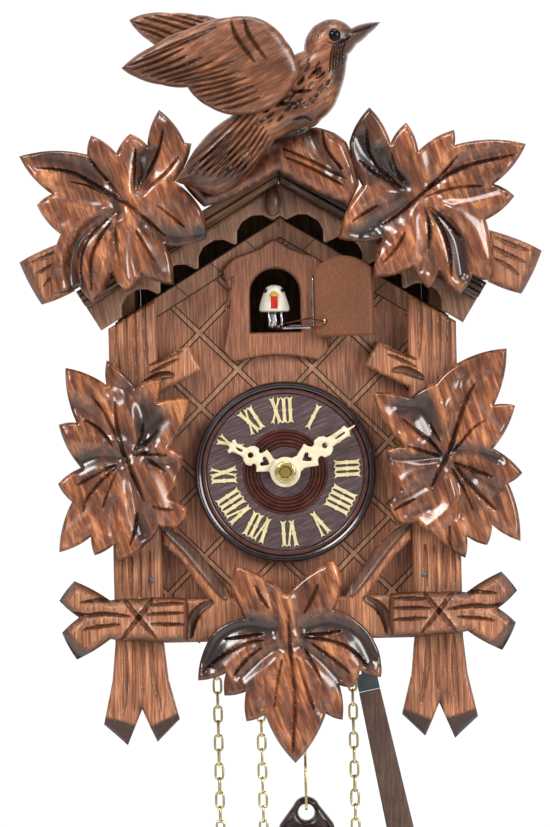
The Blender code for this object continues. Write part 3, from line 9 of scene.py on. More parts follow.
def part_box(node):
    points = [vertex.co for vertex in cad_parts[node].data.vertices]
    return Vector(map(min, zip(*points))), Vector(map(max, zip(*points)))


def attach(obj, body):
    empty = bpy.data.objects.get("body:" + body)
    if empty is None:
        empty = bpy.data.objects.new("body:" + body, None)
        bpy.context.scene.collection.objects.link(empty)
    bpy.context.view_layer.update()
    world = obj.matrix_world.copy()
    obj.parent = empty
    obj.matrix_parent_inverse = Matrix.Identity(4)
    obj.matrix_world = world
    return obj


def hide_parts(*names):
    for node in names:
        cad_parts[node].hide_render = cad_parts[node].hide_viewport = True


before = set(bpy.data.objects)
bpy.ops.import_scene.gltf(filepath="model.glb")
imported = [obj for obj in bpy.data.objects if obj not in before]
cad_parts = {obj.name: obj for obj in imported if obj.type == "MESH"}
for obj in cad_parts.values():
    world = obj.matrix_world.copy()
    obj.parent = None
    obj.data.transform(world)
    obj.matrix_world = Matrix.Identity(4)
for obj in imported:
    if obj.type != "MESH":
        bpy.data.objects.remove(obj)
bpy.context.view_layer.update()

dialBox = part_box("dial")
# height of the dial's centre in the frame, in millimetres
dialHeight = (dialBox[0].z + dialBox[1].z) * 500.0
draw = np.random.default_rng(7)
print("frame loaded:", len(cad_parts), "nodes")

# Everything below is laid out in millimetres: X and Z from the centre of the dial, Y from the wall.


def boxOf(node):
    low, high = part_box(node)
    shift = np.array([0.0, 0.0, dialHeight])
    return np.array(low) * 1000.0 - shift, np.array(high) * 1000.0 - shift


def srgb(red, green, blue):
    return tuple(((c / 255 + 0.055) / 1.055) ** 2.4 if c > 10 else c / 3294 for c in (red, green, blue))


# finishes

def addNode(tree, kind, settings=None, **inputs):
    made = tree.nodes.new(kind)
    for key, value in (settings or {}).items():
        setattr(made, key, value)
    for key, value in inputs.items():
        numbered = key[0] == "n" and key[1:].isdigit()
        socket = made.inputs[int(key[1:]) if numbered else key.replace("_", " ")]
        if isinstance(value, bpy.types.NodeSocket):
            tree.links.new(value, socket)
        else:
            socket.default_value = value
    return made


def addRamp(tree, source, stops):
    ramp = addNode(tree, "ShaderNodeValToRGB", Fac=source)
    elements = ramp.color_ramp.elements
    while len(elements) < len(stops):
        elements.new(0.5)
    for element, (place, colour) in zip(elements, stops):
        element.position = place
        element.color = (*colour, 1.0) if len(colour) == 3 else colour
    return ramp.outputs["Color"]


def mixColours(tree, blend, share, first, second):
    mix = addNode(tree, "ShaderNodeMix", {"data_type": "RGBA", "blend_type": blend})
    for socket, value in ((mix.inputs[0], share), (mix.inputs[6], first), (mix.inputs[7], second)):
        if isinstance(value, bpy.types.NodeSocket):
            tree.links.new(value, socket)
        else:
            socket.default_value = (*value, 1.0) if isinstance(value, tuple) else value
    return mix.outputs[2]


def startFinish(name, look):
    material = bpy.data.materials.new(name)
    material.use_nodes = True
    tree = material.node_tree
    shader = tree.nodes["Principled BSDF"]
    shader.inputs["Metallic"].default_value = look.get("metallic", 0.0)
    shader.inputs["Coat Weight"].default_value = look.get("coat", 0.0)
    shader.inputs["Coat Roughness"].default_value = look.get("coatRoughness", 0.15)
    shader.inputs["IOR"].default_value = look.get("ior", 1.5)
    coords = addNode(tree, "ShaderNodeTexCoord").outputs["Object"]
    return material, tree, shader, coords


def makeWood(name, look):
    material, tree, shader, coords = startFinish(name, look)
    fine, along = look["grain"], look["along"]
    turn = tuple(math.radians(a) for a in look.get("turn", (0, 0, 0)))
    turned = addNode(tree, "ShaderNodeMapping", Vector=coords, Rotation=turn).outputs[0]
    grain = addNode(tree, "ShaderNodeMapping", Vector=turned, Scale=(fine, fine, fine * along))
    figure = addNode(tree, "ShaderNodeTexNoise", Vector=grain.outputs[0], Scale=1.0, Detail=6.0,
                     Roughness=0.62, Distortion=0.35)
    colour = addRamp(tree, figure.outputs["Fac"],
                     ((0.30, look["dark"]), (0.50, look["middle"]), (0.70, look["light"])))
    porePlace = addNode(tree, "ShaderNodeMapping", Vector=turned,
                        Scale=(fine * 4.5, fine * 4.5, fine * along * 2.2))
    pores = addNode(tree, "ShaderNodeTexNoise", Vector=porePlace.outputs[0], Scale=1.0, Detail=3.0,
                    Roughness=0.5)
    poreShade = addRamp(tree, pores.outputs["Fac"], ((0.36, (0, 0, 0)), (0.47, (1, 1, 1))))
    colour = mixColours(tree, "MIX", poreShade, mixColours(tree, "MULTIPLY", look["pores"], colour,
                                                          (0.30, 0.22, 0.20)), colour)
    blotches = addNode(tree, "ShaderNodeTexNoise", Vector=coords, Scale=look.get("blotch", 55.0),
                       Detail=3.0)
    patch = addRamp(tree, blotches.outputs["Fac"], ((0.34, (0.50, 0.45, 0.42)), (0.50, (0.92, 0.90, 0.88)),
                                                    (0.64, (1.28, 1.26, 1.22))))
    colour = mixColours(tree, "MULTIPLY", look.get("patches", 0.7), colour, patch)
    if look.get("carved"):
        # carved pieces: where the tone attribute is low the colour is multiplied by the look's darker
        # colour, real staining and painted shade in hollows and at edges; high tone on swells is a painted
        # highlight
        tone = addNode(tree, "ShaderNodeAttribute", {"attribute_name": "tone"}).outputs["Fac"]
        clearOfStainAndShade = addRamp(tree, tone, ((0.0, (0.0, 0.0, 0.0)), (0.62, (0.62, 0.62, 0.62)), (1.0, (1, 1, 1))))
        stainedAndShaded = mixColours(tree, "MULTIPLY", 1.0, colour, look["stainAndShade"])
        colour = mixColours(tree, "MIX", clearOfStainAndShade, stainedAndShaded, colour)
    tree.links.new(colour, shader.inputs["Base Color"])
    rough = addNode(tree, "ShaderNodeMapRange", Value=blotches.outputs["Fac"], n3=look["smooth"],
                    n4=look["rough"])
    tree.links.new(rough.outputs[0], shader.inputs["Roughness"])
    bump = addNode(tree, "ShaderNodeBump", Height=poreShade, Strength=look.get("bump", 0.25),
                   Distance=0.0002)
    waver = addNode(tree, "ShaderNodeBump", Height=figure.outputs["Fac"], Strength=look.get("waver", 0.35),
                    Distance=0.00035, Normal=bump.outputs[0])
    tree.links.new(waver.outputs[0], shader.inputs["Normal"])
    return material


def makePlain(name, look):
    # metal or plastic: a colour that wanders a little, fine scratches or grain, and uneven gloss
    material, tree, shader, coords = startFinish(name, look)
    clouds = addNode(tree, "ShaderNodeTexNoise", Vector=coords, Scale=look["clouds"], Detail=4.0,
                     Roughness=0.6)
    colour = addRamp(tree, clouds.outputs["Fac"], ((0.32, look["dark"]), (0.66, look["light"])))
    tree.links.new(colour, shader.inputs["Base Color"])
    marks = addNode(tree, "ShaderNodeMapping", Vector=coords,
                    Scale=look.get("brush", (900.0, 900.0, 900.0)))
    grit = addNode(tree, "ShaderNodeTexNoise", Vector=marks.outputs[0], Scale=1.0, Detail=4.0,
                   Roughness=0.7)
    rough = addNode(tree, "ShaderNodeMapRange", Value=grit.outputs["Fac"], n3=look["smooth"],
                    n4=look["rough"])
    tree.links.new(rough.outputs[0], shader.inputs["Roughness"])
    bump = addNode(tree, "ShaderNodeBump", Height=grit.outputs["Fac"], Strength=look.get("bump", 0.15),
                   Distance=0.0001)
    tree.links.new(bump.outputs[0], shader.inputs["Normal"])
    return material


# the darker colour of each carved finish marks hollows and edges: part real staining, part painted shade
woods = {
    "carvedLacquer": dict(
        dark=srgb(66, 31, 18), middle=srgb(130, 72, 41), light=srgb(208, 138, 90),
        stainAndShade=(0.09, 0.06, 0.055),
        grain=500.0, along=0.16, turn=(0, 18, 0), pores=0.25, carved=True, patches=1.0, blotch=62.0,
        smooth=0.20, rough=0.34, coat=0.85, coatRoughness=0.13, bump=0.06, waver=0.10),
    "carvedPost": dict(
        dark=srgb(112, 60, 38), middle=srgb(168, 108, 74), light=srgb(212, 158, 120),
        stainAndShade=(0.12, 0.065, 0.05),
        grain=1300.0, along=0.045, pores=0.75, carved=True, patches=0.7, smooth=0.30, rough=0.48, coat=0.35,
        coatRoughness=0.2, bump=0.25, waver=0.25),
    "featheredWood": dict(
        dark=srgb(78, 42, 28), middle=srgb(132, 80, 52), light=srgb(188, 126, 88),
        stainAndShade=(0.10, 0.065, 0.06),
        grain=700.0, along=0.14, turn=(0, -62, 0), pores=0.5, carved=True, patches=0.8, smooth=0.26,
        rough=0.42,
        coat=0.45, coatRoughness=0.20, bump=0.2, waver=0.2),
    "panelWood": dict(
        dark=srgb(106, 60, 42), middle=srgb(152, 97, 68), light=srgb(194, 138, 104), grain=1500.0,
        along=0.045,
        pores=0.95, patches=0.45, smooth=0.36, rough=0.54, coat=0.2, coatRoughness=0.3, bump=0.4,
        waver=0.35),
    "surroundWood": dict(
        dark=srgb(100, 56, 38), middle=srgb(146, 90, 62), light=srgb(178, 118, 84),
        stainAndShade=(0.22, 0.14, 0.12),
        grain=1500.0, along=0.045, carved=True, pores=0.9, patches=0.35, smooth=0.40, rough=0.55, coat=0.15,
        coatRoughness=0.3, bump=0.3, waver=0.3),
    "stripWood": dict(
        dark=srgb(128, 84, 60), middle=srgb(164, 116, 84), light=srgb(194, 148, 112), grain=1500.0,
        along=0.06,
        pores=0.6, patches=0.4, smooth=0.45, rough=0.60, bump=0.3, waver=0.3),
    "doorWood": dict(
        dark=srgb(102, 58, 34), middle=srgb(126, 75, 46), light=srgb(146, 91, 59), grain=2400.0, along=0.5,
        pores=0.5, patches=0.4, smooth=0.5, rough=0.65, bump=0.3, waver=0.3),
    # the two roof mouldings are one wood: the near-black copy is painted shade, the lighter copy painted
    # light
    "darkMoulding": dict(
        dark=srgb(36, 22, 17), middle=srgb(58, 38, 29), light=srgb(84, 57, 43), grain=1200.0, along=0.07,
        turn=(0, 58, 0), pores=0.5, smooth=0.20, rough=0.34, coat=0.4, coatRoughness=0.15, bump=0.15,
        waver=0.2),
    "brownMoulding": dict(
        dark=srgb(66, 42, 30), middle=srgb(98, 66, 46), light=srgb(126, 90, 64), grain=1200.0, along=0.07,
        turn=(0, -60, 0), pores=0.5, smooth=0.28, rough=0.42, coat=0.3, coatRoughness=0.2, bump=0.2,
        waver=0.2),
    "fasciaWood": dict(
        dark=srgb(104, 70, 54), middle=srgb(142, 101, 79), light=srgb(172, 130, 104),
        stainAndShade=(0.24, 0.16, 0.13),
        grain=1300.0, along=0.05, turn=(0, 8, 0), carved=True, pores=0.7, patches=0.4, smooth=0.42,
        rough=0.6, coat=0.1, bump=0.3, waver=0.3),
    "fasciaPlain": dict(
        dark=srgb(112, 72, 52), middle=srgb(150, 104, 76), light=srgb(180, 132, 100), grain=1500.0,
        along=0.05,
        pores=0.7, patches=0.4, smooth=0.4, rough=0.58, coat=0.1, bump=0.3, waver=0.3),
    "plainBoard": dict(
        dark=srgb(120, 76, 48), middle=srgb(150, 100, 66), light=srgb(174, 124, 86), grain=900.0,
        along=0.04,
        pores=0.8, smooth=0.5, rough=0.66, bump=0.35, waver=0.3),
    "roofBoard": dict(
        dark=srgb(62, 38, 28), middle=srgb(86, 56, 40), light=srgb(108, 74, 54), grain=1000.0, along=0.05,
        turn=(90, 0, 0), pores=0.8, smooth=0.4, rough=0.56, coat=0.1, bump=0.35, waver=0.3),
    "paleBoard": dict(
        dark=srgb(168, 128, 88), middle=srgb(194, 156, 112), light=srgb(212, 178, 134), grain=900.0,
        along=0.04,
        pores=0.6, smooth=0.55, rough=0.7, bump=0.3, waver=0.3),
    "dialWood": dict(
        dark=srgb(46, 30, 34), middle=srgb(78, 56, 60), light=srgb(122, 98, 102), grain=1500.0, along=0.07,
        turn=(0, -68, 0), pores=0.8, patches=0.3, smooth=0.34, rough=0.5, coat=0.2, coatRoughness=0.3,
        bump=0.4, waver=0.4),
    "stickWood": dict(
        dark=srgb(78, 58, 50), middle=srgb(102, 78, 68), light=srgb(122, 96, 82), grain=1900.0, along=0.04,
        pores=0.8, smooth=0.5, rough=0.68, bump=0.35, waver=0.3),
}
plains = {
    "dialRing": dict(dark=srgb(58, 26, 20), light=srgb(88, 42, 30), clouds=300.0, smooth=0.16, rough=0.28,
                     coat=0.5, coatRoughness=0.12),
    "dialRim": dict(dark=srgb(30, 20, 22), light=srgb(54, 40, 42), clouds=300.0, smooth=0.14, rough=0.26,
                    coat=0.6, coatRoughness=0.1),
    "ivoryPlastic": dict(dark=srgb(206, 192, 144), light=srgb(226, 214, 168), clouds=400.0, smooth=0.30,
                         rough=0.42,
                         ior=1.45),
    "handPlastic": dict(dark=srgb(216, 200, 168), light=srgb(238, 226, 200), clouds=400.0, smooth=0.28,
                        rough=0.4,
                        ior=1.45),
    "whitePlastic": dict(dark=srgb(212, 208, 192), light=srgb(236, 233, 218), clouds=350.0, smooth=0.25,
                         rough=0.4),
    "yellowPaint": dict(dark=srgb(196, 158, 60), light=srgb(224, 188, 88), clouds=500.0, smooth=0.3,
                        rough=0.45),
    "redPaint": dict(dark=srgb(168, 26, 22), light=srgb(200, 40, 32), clouds=500.0, smooth=0.25, rough=0.4),
    "blackGlass": dict(dark=(0.002, 0.002, 0.002), light=(0.006, 0.005, 0.005), clouds=300.0, smooth=0.03,
                       rough=0.07, ior=1.3, bump=0.0),
    "brass": dict(dark=srgb(206, 188, 128), light=srgb(240, 228, 176), metallic=1.0, clouds=300.0,
                  smooth=0.16,
                  rough=0.32),
    "plateBrass": dict(dark=srgb(186, 152, 78), light=srgb(214, 182, 106), metallic=1.0, clouds=60.0,
                       smooth=0.22,
                       rough=0.40, brush=(2400.0, 2400.0, 120.0)),
    "steel": dict(dark=srgb(150, 152, 156), light=srgb(206, 208, 212), metallic=1.0, clouds=200.0,
                  smooth=0.14,
                  rough=0.32),
    "blueSteel": dict(dark=srgb(74, 86, 94), light=srgb(98, 112, 120), metallic=0.55, clouds=160.0,
                      smooth=0.34,
                      rough=0.5),
    "copperWire": dict(dark=srgb(96, 58, 44), light=srgb(146, 96, 76), metallic=0.9, clouds=500.0,
                       smooth=0.25,
                       rough=0.42),
    "castIron": dict(dark=srgb(34, 24, 26), light=srgb(70, 48, 46), metallic=0.35, clouds=420.0,
                     smooth=0.22,
                     rough=0.46, coat=0.35, coatRoughness=0.2, bump=0.4),
    "darkGap": dict(dark=srgb(24, 14, 11), light=srgb(40, 24, 18), clouds=400.0, smooth=0.6, rough=0.8),
}
finishes = {name: makeWood(name, look) for name, look in woods.items()}
finishes.update({name: makePlain(name, look) for name, look in plains.items()})
print("finishes made:", len(finishes))


# building blocks

def makePiece(name, points, faces, finish, body, replaced=(), tone=None, crease=40.0, faceFinishes=None):
    mesh = bpy.data.meshes.new(name)
    world = (np.asarray(points, float) + (0.0, 0.0, dialHeight)) * 0.001
    mesh.from_pydata(world.tolist(), [], [tuple(int(i) for i in f) for f in faces])
    mesh.validate()
    mesh.update()
    names = [finish] if isinstance(finish, str) else list(finish)
    for each in names:
        mesh.materials.append(finishes[each])
    if faceFinishes is not None:
        mesh.polygons.foreach_set("material_index", np.asarray(faceFinishes, np.int32))
    if tone is not None:
        mesh.attributes.new("tone", "FLOAT", "POINT").data.foreach_set("value",
            np.asarray(tone, np.float32))
    mesh.shade_smooth()
    mesh.set_sharp_from_angle(angle=math.radians(crease))
    piece = bpy.data.objects.new(name, mesh)
    bpy.context.scene.collection.objects.link(piece)
    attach(piece, body)
    if replaced:
        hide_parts(*([replaced] if isinstance(replaced, str) else replaced))
    return piece


def boardOutline(node, side="front", level=None):
    # the corners of a flat board's face, anticlockwise as one looks at it from the front
    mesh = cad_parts[node].data
    co = np.array([v.co for v in mesh.vertices]) * 1000.0 - (0.0, 0.0, dialHeight)
    if level is None:
        level = co[:, 1].min() if side == "front" else co[:, 1].max()
    following = {}
    for polygon in mesh.polygons:
        corners = [co[i] for i in polygon.vertices]
        if all(abs(c[1] - level) < 0.03 for c in corners):
            keys = [(round(float(c[0]), 2), round(float(c[2]), 2)) for c in corners]
            for a, b in zip(keys, keys[1:] + keys[:1]):
                if following.get(b) and a in following[b]:
                    following[b].remove(a)
                else:
                    following.setdefault(a, []).append(b)
    loops = []
    while any(following.values()):
        start = next(a for a, ends in following.items() if ends)
        loop, here = [start], following[start].pop()
        while here != start and following.get(here):
            loop.append(here)
            here = following[here].pop()
        loops.append(loop)
    loops.sort(key=lambda loop: abs(loopArea(loop)), reverse=True)
    best = loops[0]
    return best if loopArea(best) > 0 else best[::-1]


def loopArea(loop):
    return sum(a[0] * b[1] - b[0] * a[1] for a, b in zip(loop, loop[1:] + loop[:1])) / 2


def bowedOutline(outline, bow, step):
    # each straight edge swells outwards a little, as a knife leaves it
    points = []
    for (ax, az), (bx, bz) in zip(outline, outline[1:] + outline[:1]):
        length = math.hypot(bx - ax, bz - az)
        count = max(1, round(length / step))
        push = bow * length if length > 2.5 else 0.0
        outX, outZ = (bz - az) / max(length, 1e-6), -(bx - ax) / max(length, 1e-6)
        for i in range(count):
            t = i / count
            swell = 4 * t * (1 - t) * push
            points.append((ax + (bx - ax) * t + outX * swell, az + (bz - az) * t + outZ * swell))
    return points


def smoothLine(points, steps=6):
    # a curve through the points
    if len(points) < 3:
        return [tuple(p) for p in points]
    full = [points[0], *points, points[-1]]
    made = []
    for p0, p1, p2, p3 in zip(full, full[1:], full[2:], full[3:]):
        for i in range(steps):
            t = i / steps
            made.append(tuple(
                0.5 * (2 * b + (c - a) * t + (2 * a - 5 * b + 4 * c - d) * t * t
                       + (3 * b - a - 3 * c + d) * t ** 3)
                for a, b, c, d in zip(p0, p1, p2, p3)))
    made.append(tuple(points[-1]))
    return made


def alongLine(line, px, pz, closed=False):
    # distance from every point to the line, and how far along it the nearest place is, from 0 to 1
    line = list(line) + ([line[0]] if closed else [])
    lengths = [math.hypot(b[0] - a[0], b[1] - a[1]) for a, b in zip(line, line[1:])]
    total, done = max(sum(lengths), 1e-9), 0.0
    best, place = np.full(len(px), 1e9), np.zeros(len(px))
    for (ax, az), (bx, bz), length in zip(line, line[1:], lengths):
        if length < 1e-9:
            continue
        dx, dz = (bx - ax) / length, (bz - az) / length
        t = np.clip((px - ax) * dx + (pz - az) * dz, 0.0, length)
        away = np.hypot(px - ax - dx * t, pz - az - dz * t)
        near = away < best
        best[near] = away[near]
        place[near] = (done + t[near]) / total
        done += length
    return best, place


def insideLoop(loop, px, pz):
    inside = np.zeros(len(px), bool)
    for (ax, az), (bx, bz) in zip(loop, loop[1:] + loop[:1]):
        if az == bz:
            continue
        crosses = (az > pz) != (bz > pz)
        inside ^= crosses & (px < (bx - ax) * (pz - az) / (bz - az) + ax)
    return inside


def pointedEnds(t):
    return np.clip(4 * t * (1 - t), 0.0, 1.0) ** 0.42


def reliefOf(look, px, pz, edge):
    # how far the carved face stands in front of the back of the board, and how clear it is of real staining
    # and painted shade: darker in valleys, cuts, gouges, shades, bevels and at the rim, lighter on swells
    # as a painted highlight
    height = np.full(len(px), float(look["thick"]))
    stainAndShade = np.full(len(px), float(look.get("stainAndShade", 0.0)))
    for line, half, rise in look.get("swells", ()):
        away, _ = alongLine(smoothLine(line), px, pz)
        fall = np.exp(-(away / half) ** 2)
        height += rise * fall
        # painted highlight: the crest of each swell is lighter
        stainAndShade -= 0.30 * fall
    for line, half, depth, dark in look.get("valleys", ()):
        away, _ = alongLine(smoothLine(line), px, pz)
        height -= depth * np.exp(-(away / half) ** 2)
        # valleys darken: real staining in the hollow together with painted shade
        stainAndShade += 1.1 * dark * np.exp(-(away / half / 1.35) ** 2)
    for x, z, wide, tall, dark in look.get("shades", ()):
        # dark patches: real staining together with painted shade
        stainAndShade += dark * np.exp(-((px - x) / wide) ** 2 - ((pz - z) / tall) ** 2)
    for line, half, depth, dark in look.get("gouges", ()):
        away, t = alongLine(smoothLine(line), px, pz)
        width = half * pointedEnds(t) + 1e-6
        bowl = np.clip(1 - (away / width) ** 2, 0.0, 1.0)
        height -= depth * pointedEnds(t) * np.sqrt(bowl)
        # the inside of each gouge is darker: painted shade in the hollow, part real staining
        stainAndShade += dark * (bowl > 0)
    drop, reach = look["edge"]
    rim = (1 - np.clip(edge / reach, 0.0, 1.0)) ** 2
    height -= drop * rim
    # the rim darkens by the look's edge amount: painted shade at the edge, part real staining; a negative
    # amount paints light on the edge
    stainAndShade += look.get("edgeStainAndShade", 0.0) * rim
    if "rounded" in look:
        deep, wide = look["rounded"]
        height -= deep * (1 - np.sqrt(np.clip(1 - (1 - np.clip(edge / wide, 0.0, 1.0)) ** 2, 0.0, 1.0)))
    for (ax, az), (bx, bz), slope, dark, reach in look.get("bevels", ()):
        length = math.hypot(bx - ax, bz - az)
        dx, dz = (bx - ax) / length, (bz - az) / length
        t = ((px - ax) * dx + (pz - az) * dz) / length
        beyond = (px - ax) * dz - (pz - az) * dx
        on = (beyond > 0) & (t > 0.0) & (t < 1.0) & (beyond < reach)
        height -= slope * beyond * on
        # the bevelled slope is darker: painted shade on the face turned away from the light
        stainAndShade += dark * on * np.clip(beyond / 0.25, 0.0, 1.0)
    for line, half, depth in look.get("cuts", ()):
        away, t = alongLine(smoothLine(line), px, pz)
        width = half * (0.15 + 0.85 * pointedEnds(t))
        wedge = np.clip(1 - away / width, 0.0, 1.0)
        height -= depth * pointedEnds(t) * wedge
        # each cut is darker towards its bottom: painted shade, part real staining
        stainAndShade += 0.75 * wedge ** 0.7
    return np.maximum(height, look.get("least", 0.8)), np.clip(1.0 - stainAndShade, 0.0, 1.0)


def nearestEdge(loops, px, pz):
    return np.min([alongLine(loop, px, pz, closed=True)[0] for loop in loops], axis=0)


def carveBoard(name, outline, back, look, finish, body, replaced=(), holes=()):
    # outline in X and Z; the back face is flat at Y = back, the front is cut to the relief
    step = look.get("step", 0.5)
    outline = bowedOutline(outline, look.get("bow", 0.0), step)
    holes = [bowedOutline(hole, 0.0, step) for hole in holes]
    loops = [outline, *holes]
    lowX, lowZ = np.min(outline, axis=0)
    highX, highZ = np.max(outline, axis=0)
    rows = np.arange(lowZ, highZ, step * 0.87)
    gridX, gridZ = [], []
    for i, z in enumerate(rows):
        xs = np.arange(lowX + (i % 2) * step / 2, highX, step)
        gridX.append(xs)
        gridZ.append(np.full(len(xs), z))
    px, pz = np.concatenate(gridX), np.concatenate(gridZ)
    keep = insideLoop(outline, px, pz)
    for hole in holes:
        keep &= ~insideLoop(hole, px, pz)
    px, pz = px[keep], pz[keep]
    keep = nearestEdge(loops, px, pz) > step * 0.45
    px, pz = px[keep], pz[keep]
    extra = []
    creases = [((a, b), 0.15) for a, b, *_ in look.get("bevels", ())]
    for line, half, *_ in [*look.get("cuts", ()), *look.get("gouges", ()), *creases]:
        curve = smoothLine(line)
        total = sum(math.dist(a, b) for a, b in zip(curve, curve[1:]))
        count = max(4, round(total / 0.55))
        marks = np.linspace(0.0, 1.0, count)
        lengths = np.cumsum([0.0] + [math.dist(a, b) for a, b in zip(curve, curve[1:])]) / total
        cx = np.interp(marks, lengths, [p[0] for p in curve])
        cz = np.interp(marks, lengths, [p[1] for p in curve])
        gx, gz = np.gradient(cx), np.gradient(cz)
        size = np.hypot(gx, gz) + 1e-9
        width = half * (0.15 + 0.85 * pointedEnds(marks))
        for side in (-1.0, 0.0, 1.0):
            extra.append(np.column_stack([cx - side * gz / size * width, cz + side * gx / size * width]))
    if extra:
        extra = np.concatenate(extra)
        inside = insideLoop(outline, extra[:, 0], extra[:, 1])
        for hole in holes:
            inside &= ~insideLoop(hole, extra[:, 0], extra[:, 1])
        extra = extra[inside]
        extra = extra[nearestEdge(loops, extra[:, 0], extra[:, 1]) > 0.2]
        tree = kdtree.KDTree(len(extra))
        for i, (x, z) in enumerate(extra):
            tree.insert((x, z, 0.0), i)
        tree.balance()
        kept = []
        for i, (x, z) in enumerate(extra):  # one of any two that nearly coincide
            if all(j >= i for _, j, _ in tree.find_range((x, z, 0.0), 0.16)):
                kept.append(i)
        apart = np.array([tree.find((x, z, 0.0))[2] > step * 0.42 for x, z in zip(px, pz)])
        px = np.concatenate([px[apart], extra[kept, 0]])
        pz = np.concatenate([pz[apart], extra[kept, 1]])
    flat, sides = [Vector(p) for p in outline], []
    for hole in holes:
        start = len(flat)
        flat += [Vector(p) for p in hole]
        sides += [(start + i, start + (i + 1) % len(hole)) for i in range(len(hole))]
    flat += [Vector((x, z)) for x, z in zip(px, pz)]
    found = geometry.delaunay_2d_cdt(flat, sides, [list(range(len(outline)))], 1, 1e-5)
    corners = np.array([tuple(v) for v in found[0]])
    faces = [tuple(f) for f in found[2]]
    if holes:
        middles = np.array([corners[list(f)].mean(axis=0) for f in faces])
        cutAway = np.zeros(len(faces), bool)
        for hole in holes:
            cutAway |= insideLoop(hole, middles[:, 0], middles[:, 1])
        faces = [f for f, gone in zip(faces, cutAway) if not gone]
    used = {}
    for face in faces:
        for a, b in zip(face, face[1:] + face[:1]):
            used[(a, b)] = True
    rim = [(a, b) for a, b in used if (b, a) not in used]
    edge = nearestEdge(loops, corners[:, 0], corners[:, 1])
    height, tone = reliefOf(look, corners[:, 0], corners[:, 1], edge)
    count = len(corners)
    behind, order = {}, []
    for a, b in rim:
        for i in (a, b):
            if i not in behind:
                behind[i] = count + len(order)
                order.append(i)
    points = [(x, back - h, z) for (x, z), h in zip(corners, height)]
    points += [(corners[i][0], back, corners[i][1]) for i in order]
    # painted shade: the side walls get darker towards the back of the board
    allTone = list(tone) + [max(0.0, tone[i] - 0.15) for i in order]
    allFaces = list(faces)
    for a, b in rim:
        allFaces.append((b, a, behind[a], behind[b]))
    nextOne = dict(rim)
    rings, left = [], set(nextOne)
    while left:
        ring, here = [], min(left)
        while here in left:
            left.discard(here)
            ring.append(here)
            here = nextOne[here]
        rings.append(ring)
    rings = sorted(rings, key=len, reverse=True) if len(rings) > 1 else rings
    chain = [i for ring in rings for i in ring]
    for tri in geometry.tessellate_polygon([[Vector((*corners[i], 0.0)) for i in ring] for ring in rings]):
        ends = [chain[k] for k in tri]
        a, b, c = (corners[k] for k in ends)
        turn = (b[0] - a[0]) * (c[1] - a[1]) - (b[1] - a[1]) * (c[0] - a[0])
        allFaces.append(tuple(behind[k] for k in (ends[::-1] if turn > 0 else ends)))
    return makePiece(name, points, allFaces, finish, body, replaced, allTone, look.get("crease", 32.0))


def sweepTube(path, radius, sides=10, closed=False):
    # points and faces of a round wire; radius may be one size or one for each point
    path = [Vector(p) for p in path]
    count = len(path)
    radii = list(radius) if hasattr(radius, "__len__") else [radius] * count
    points, faces, side = [], [], None
    for i, here in enumerate(path):
        before = path[i - 1] if i or closed else here
        after = path[(i + 1) % count] if i < count - 1 or closed else here
        ahead = (after - before).normalized()
        if side is None:
            side = ahead.orthogonal().normalized()
        side = (side - ahead * side.dot(ahead)).normalized()
        across = ahead.cross(side)
        for k in range(sides):
            angle = 2 * math.pi * k / sides
            points.append(tuple(here + (side * math.cos(angle) + across * math.sin(angle)) * radii[i]))
    rings = count if closed else count - 1
    for i in range(rings):
        for k in range(sides):
            a, b = i * sides + k, i * sides + (k + 1) % sides
            c, d = ((i + 1) % count) * sides + (k + 1) % sides, ((i + 1) % count) * sides + k
            faces.append((a, b, c, d))
    if not closed:
        faces.append(tuple(reversed(range(sides))))
        faces.append(tuple((count - 1) * sides + k for k in range(sides)))
    return points, faces


def gather(shapes):
    # several point and face lists as one
    points, faces = [], []
    for made, some in shapes:
        start = len(points)
        points += [tuple(p) for p in made]
        faces += [tuple(i + start for i in f) for f in some]
    return points, faces


def latheShape(profile, centre, axis="Z", count=64):
    # profile of (radius, height); axis Z stands up, axis Y points to the front
    cx, cy, cz = centre
    points, faces = [], []
    for r, h in profile:
        for k in range(count):
            angle = 2 * math.pi * k / count
            if axis == "Z":
                points.append((cx + r * math.cos(angle), cy + r * math.sin(angle), cz + h))
            else:
                points.append((cx + r * math.cos(angle), cy - h, cz + r * math.sin(angle)))
    for i in range(len(profile) - 1):
        for k in range(count):
            a, b = i * count + k, i * count + (k + 1) % count
            faces.append((a, b, b + count, a + count))
    if profile[0][0] > 1e-6 and not (profile[0] == profile[-1]):
        faces.append(tuple(reversed(range(count))))
    if profile[-1][0] > 1e-6 and not (profile[0] == profile[-1]):
        faces.append(tuple((len(profile) - 1) * count + k for k in range(count)))
    return points, faces


def facingOut(piece):
    # all faces of a closed mesh turned outwards
    shape = bmesh.new()
    shape.from_mesh(piece.data)
    bmesh.ops.remove_doubles(shape, verts=shape.verts, dist=1e-7)
    bmesh.ops.recalc_face_normals(shape, faces=shape.faces)
    shape.to_mesh(piece.data)
    shape.free()
    return piece


def dress(nodes, finish):
    # a CAD piece whose shape is right keeps it and takes a finish
    for node in nodes:
        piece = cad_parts[node]
        if not piece.material_slots:
            piece.data.materials.append(finishes[finish])
        for place in piece.material_slots:
            place.material = finishes[finish]


# leaves

layers = {
    "frame": boxOf("lower_rail")[1][1], "leaf": boxOf("bottom_leaf")[1][1],
    "crown": boxOf("crown_branch")[1][1], "bird": boxOf("songbird_body")[1][1],
    "nearWing": boxOf("songbird_near_wing")[1][1], "farWing": boxOf("songbird_far_wing")[1][1],
}

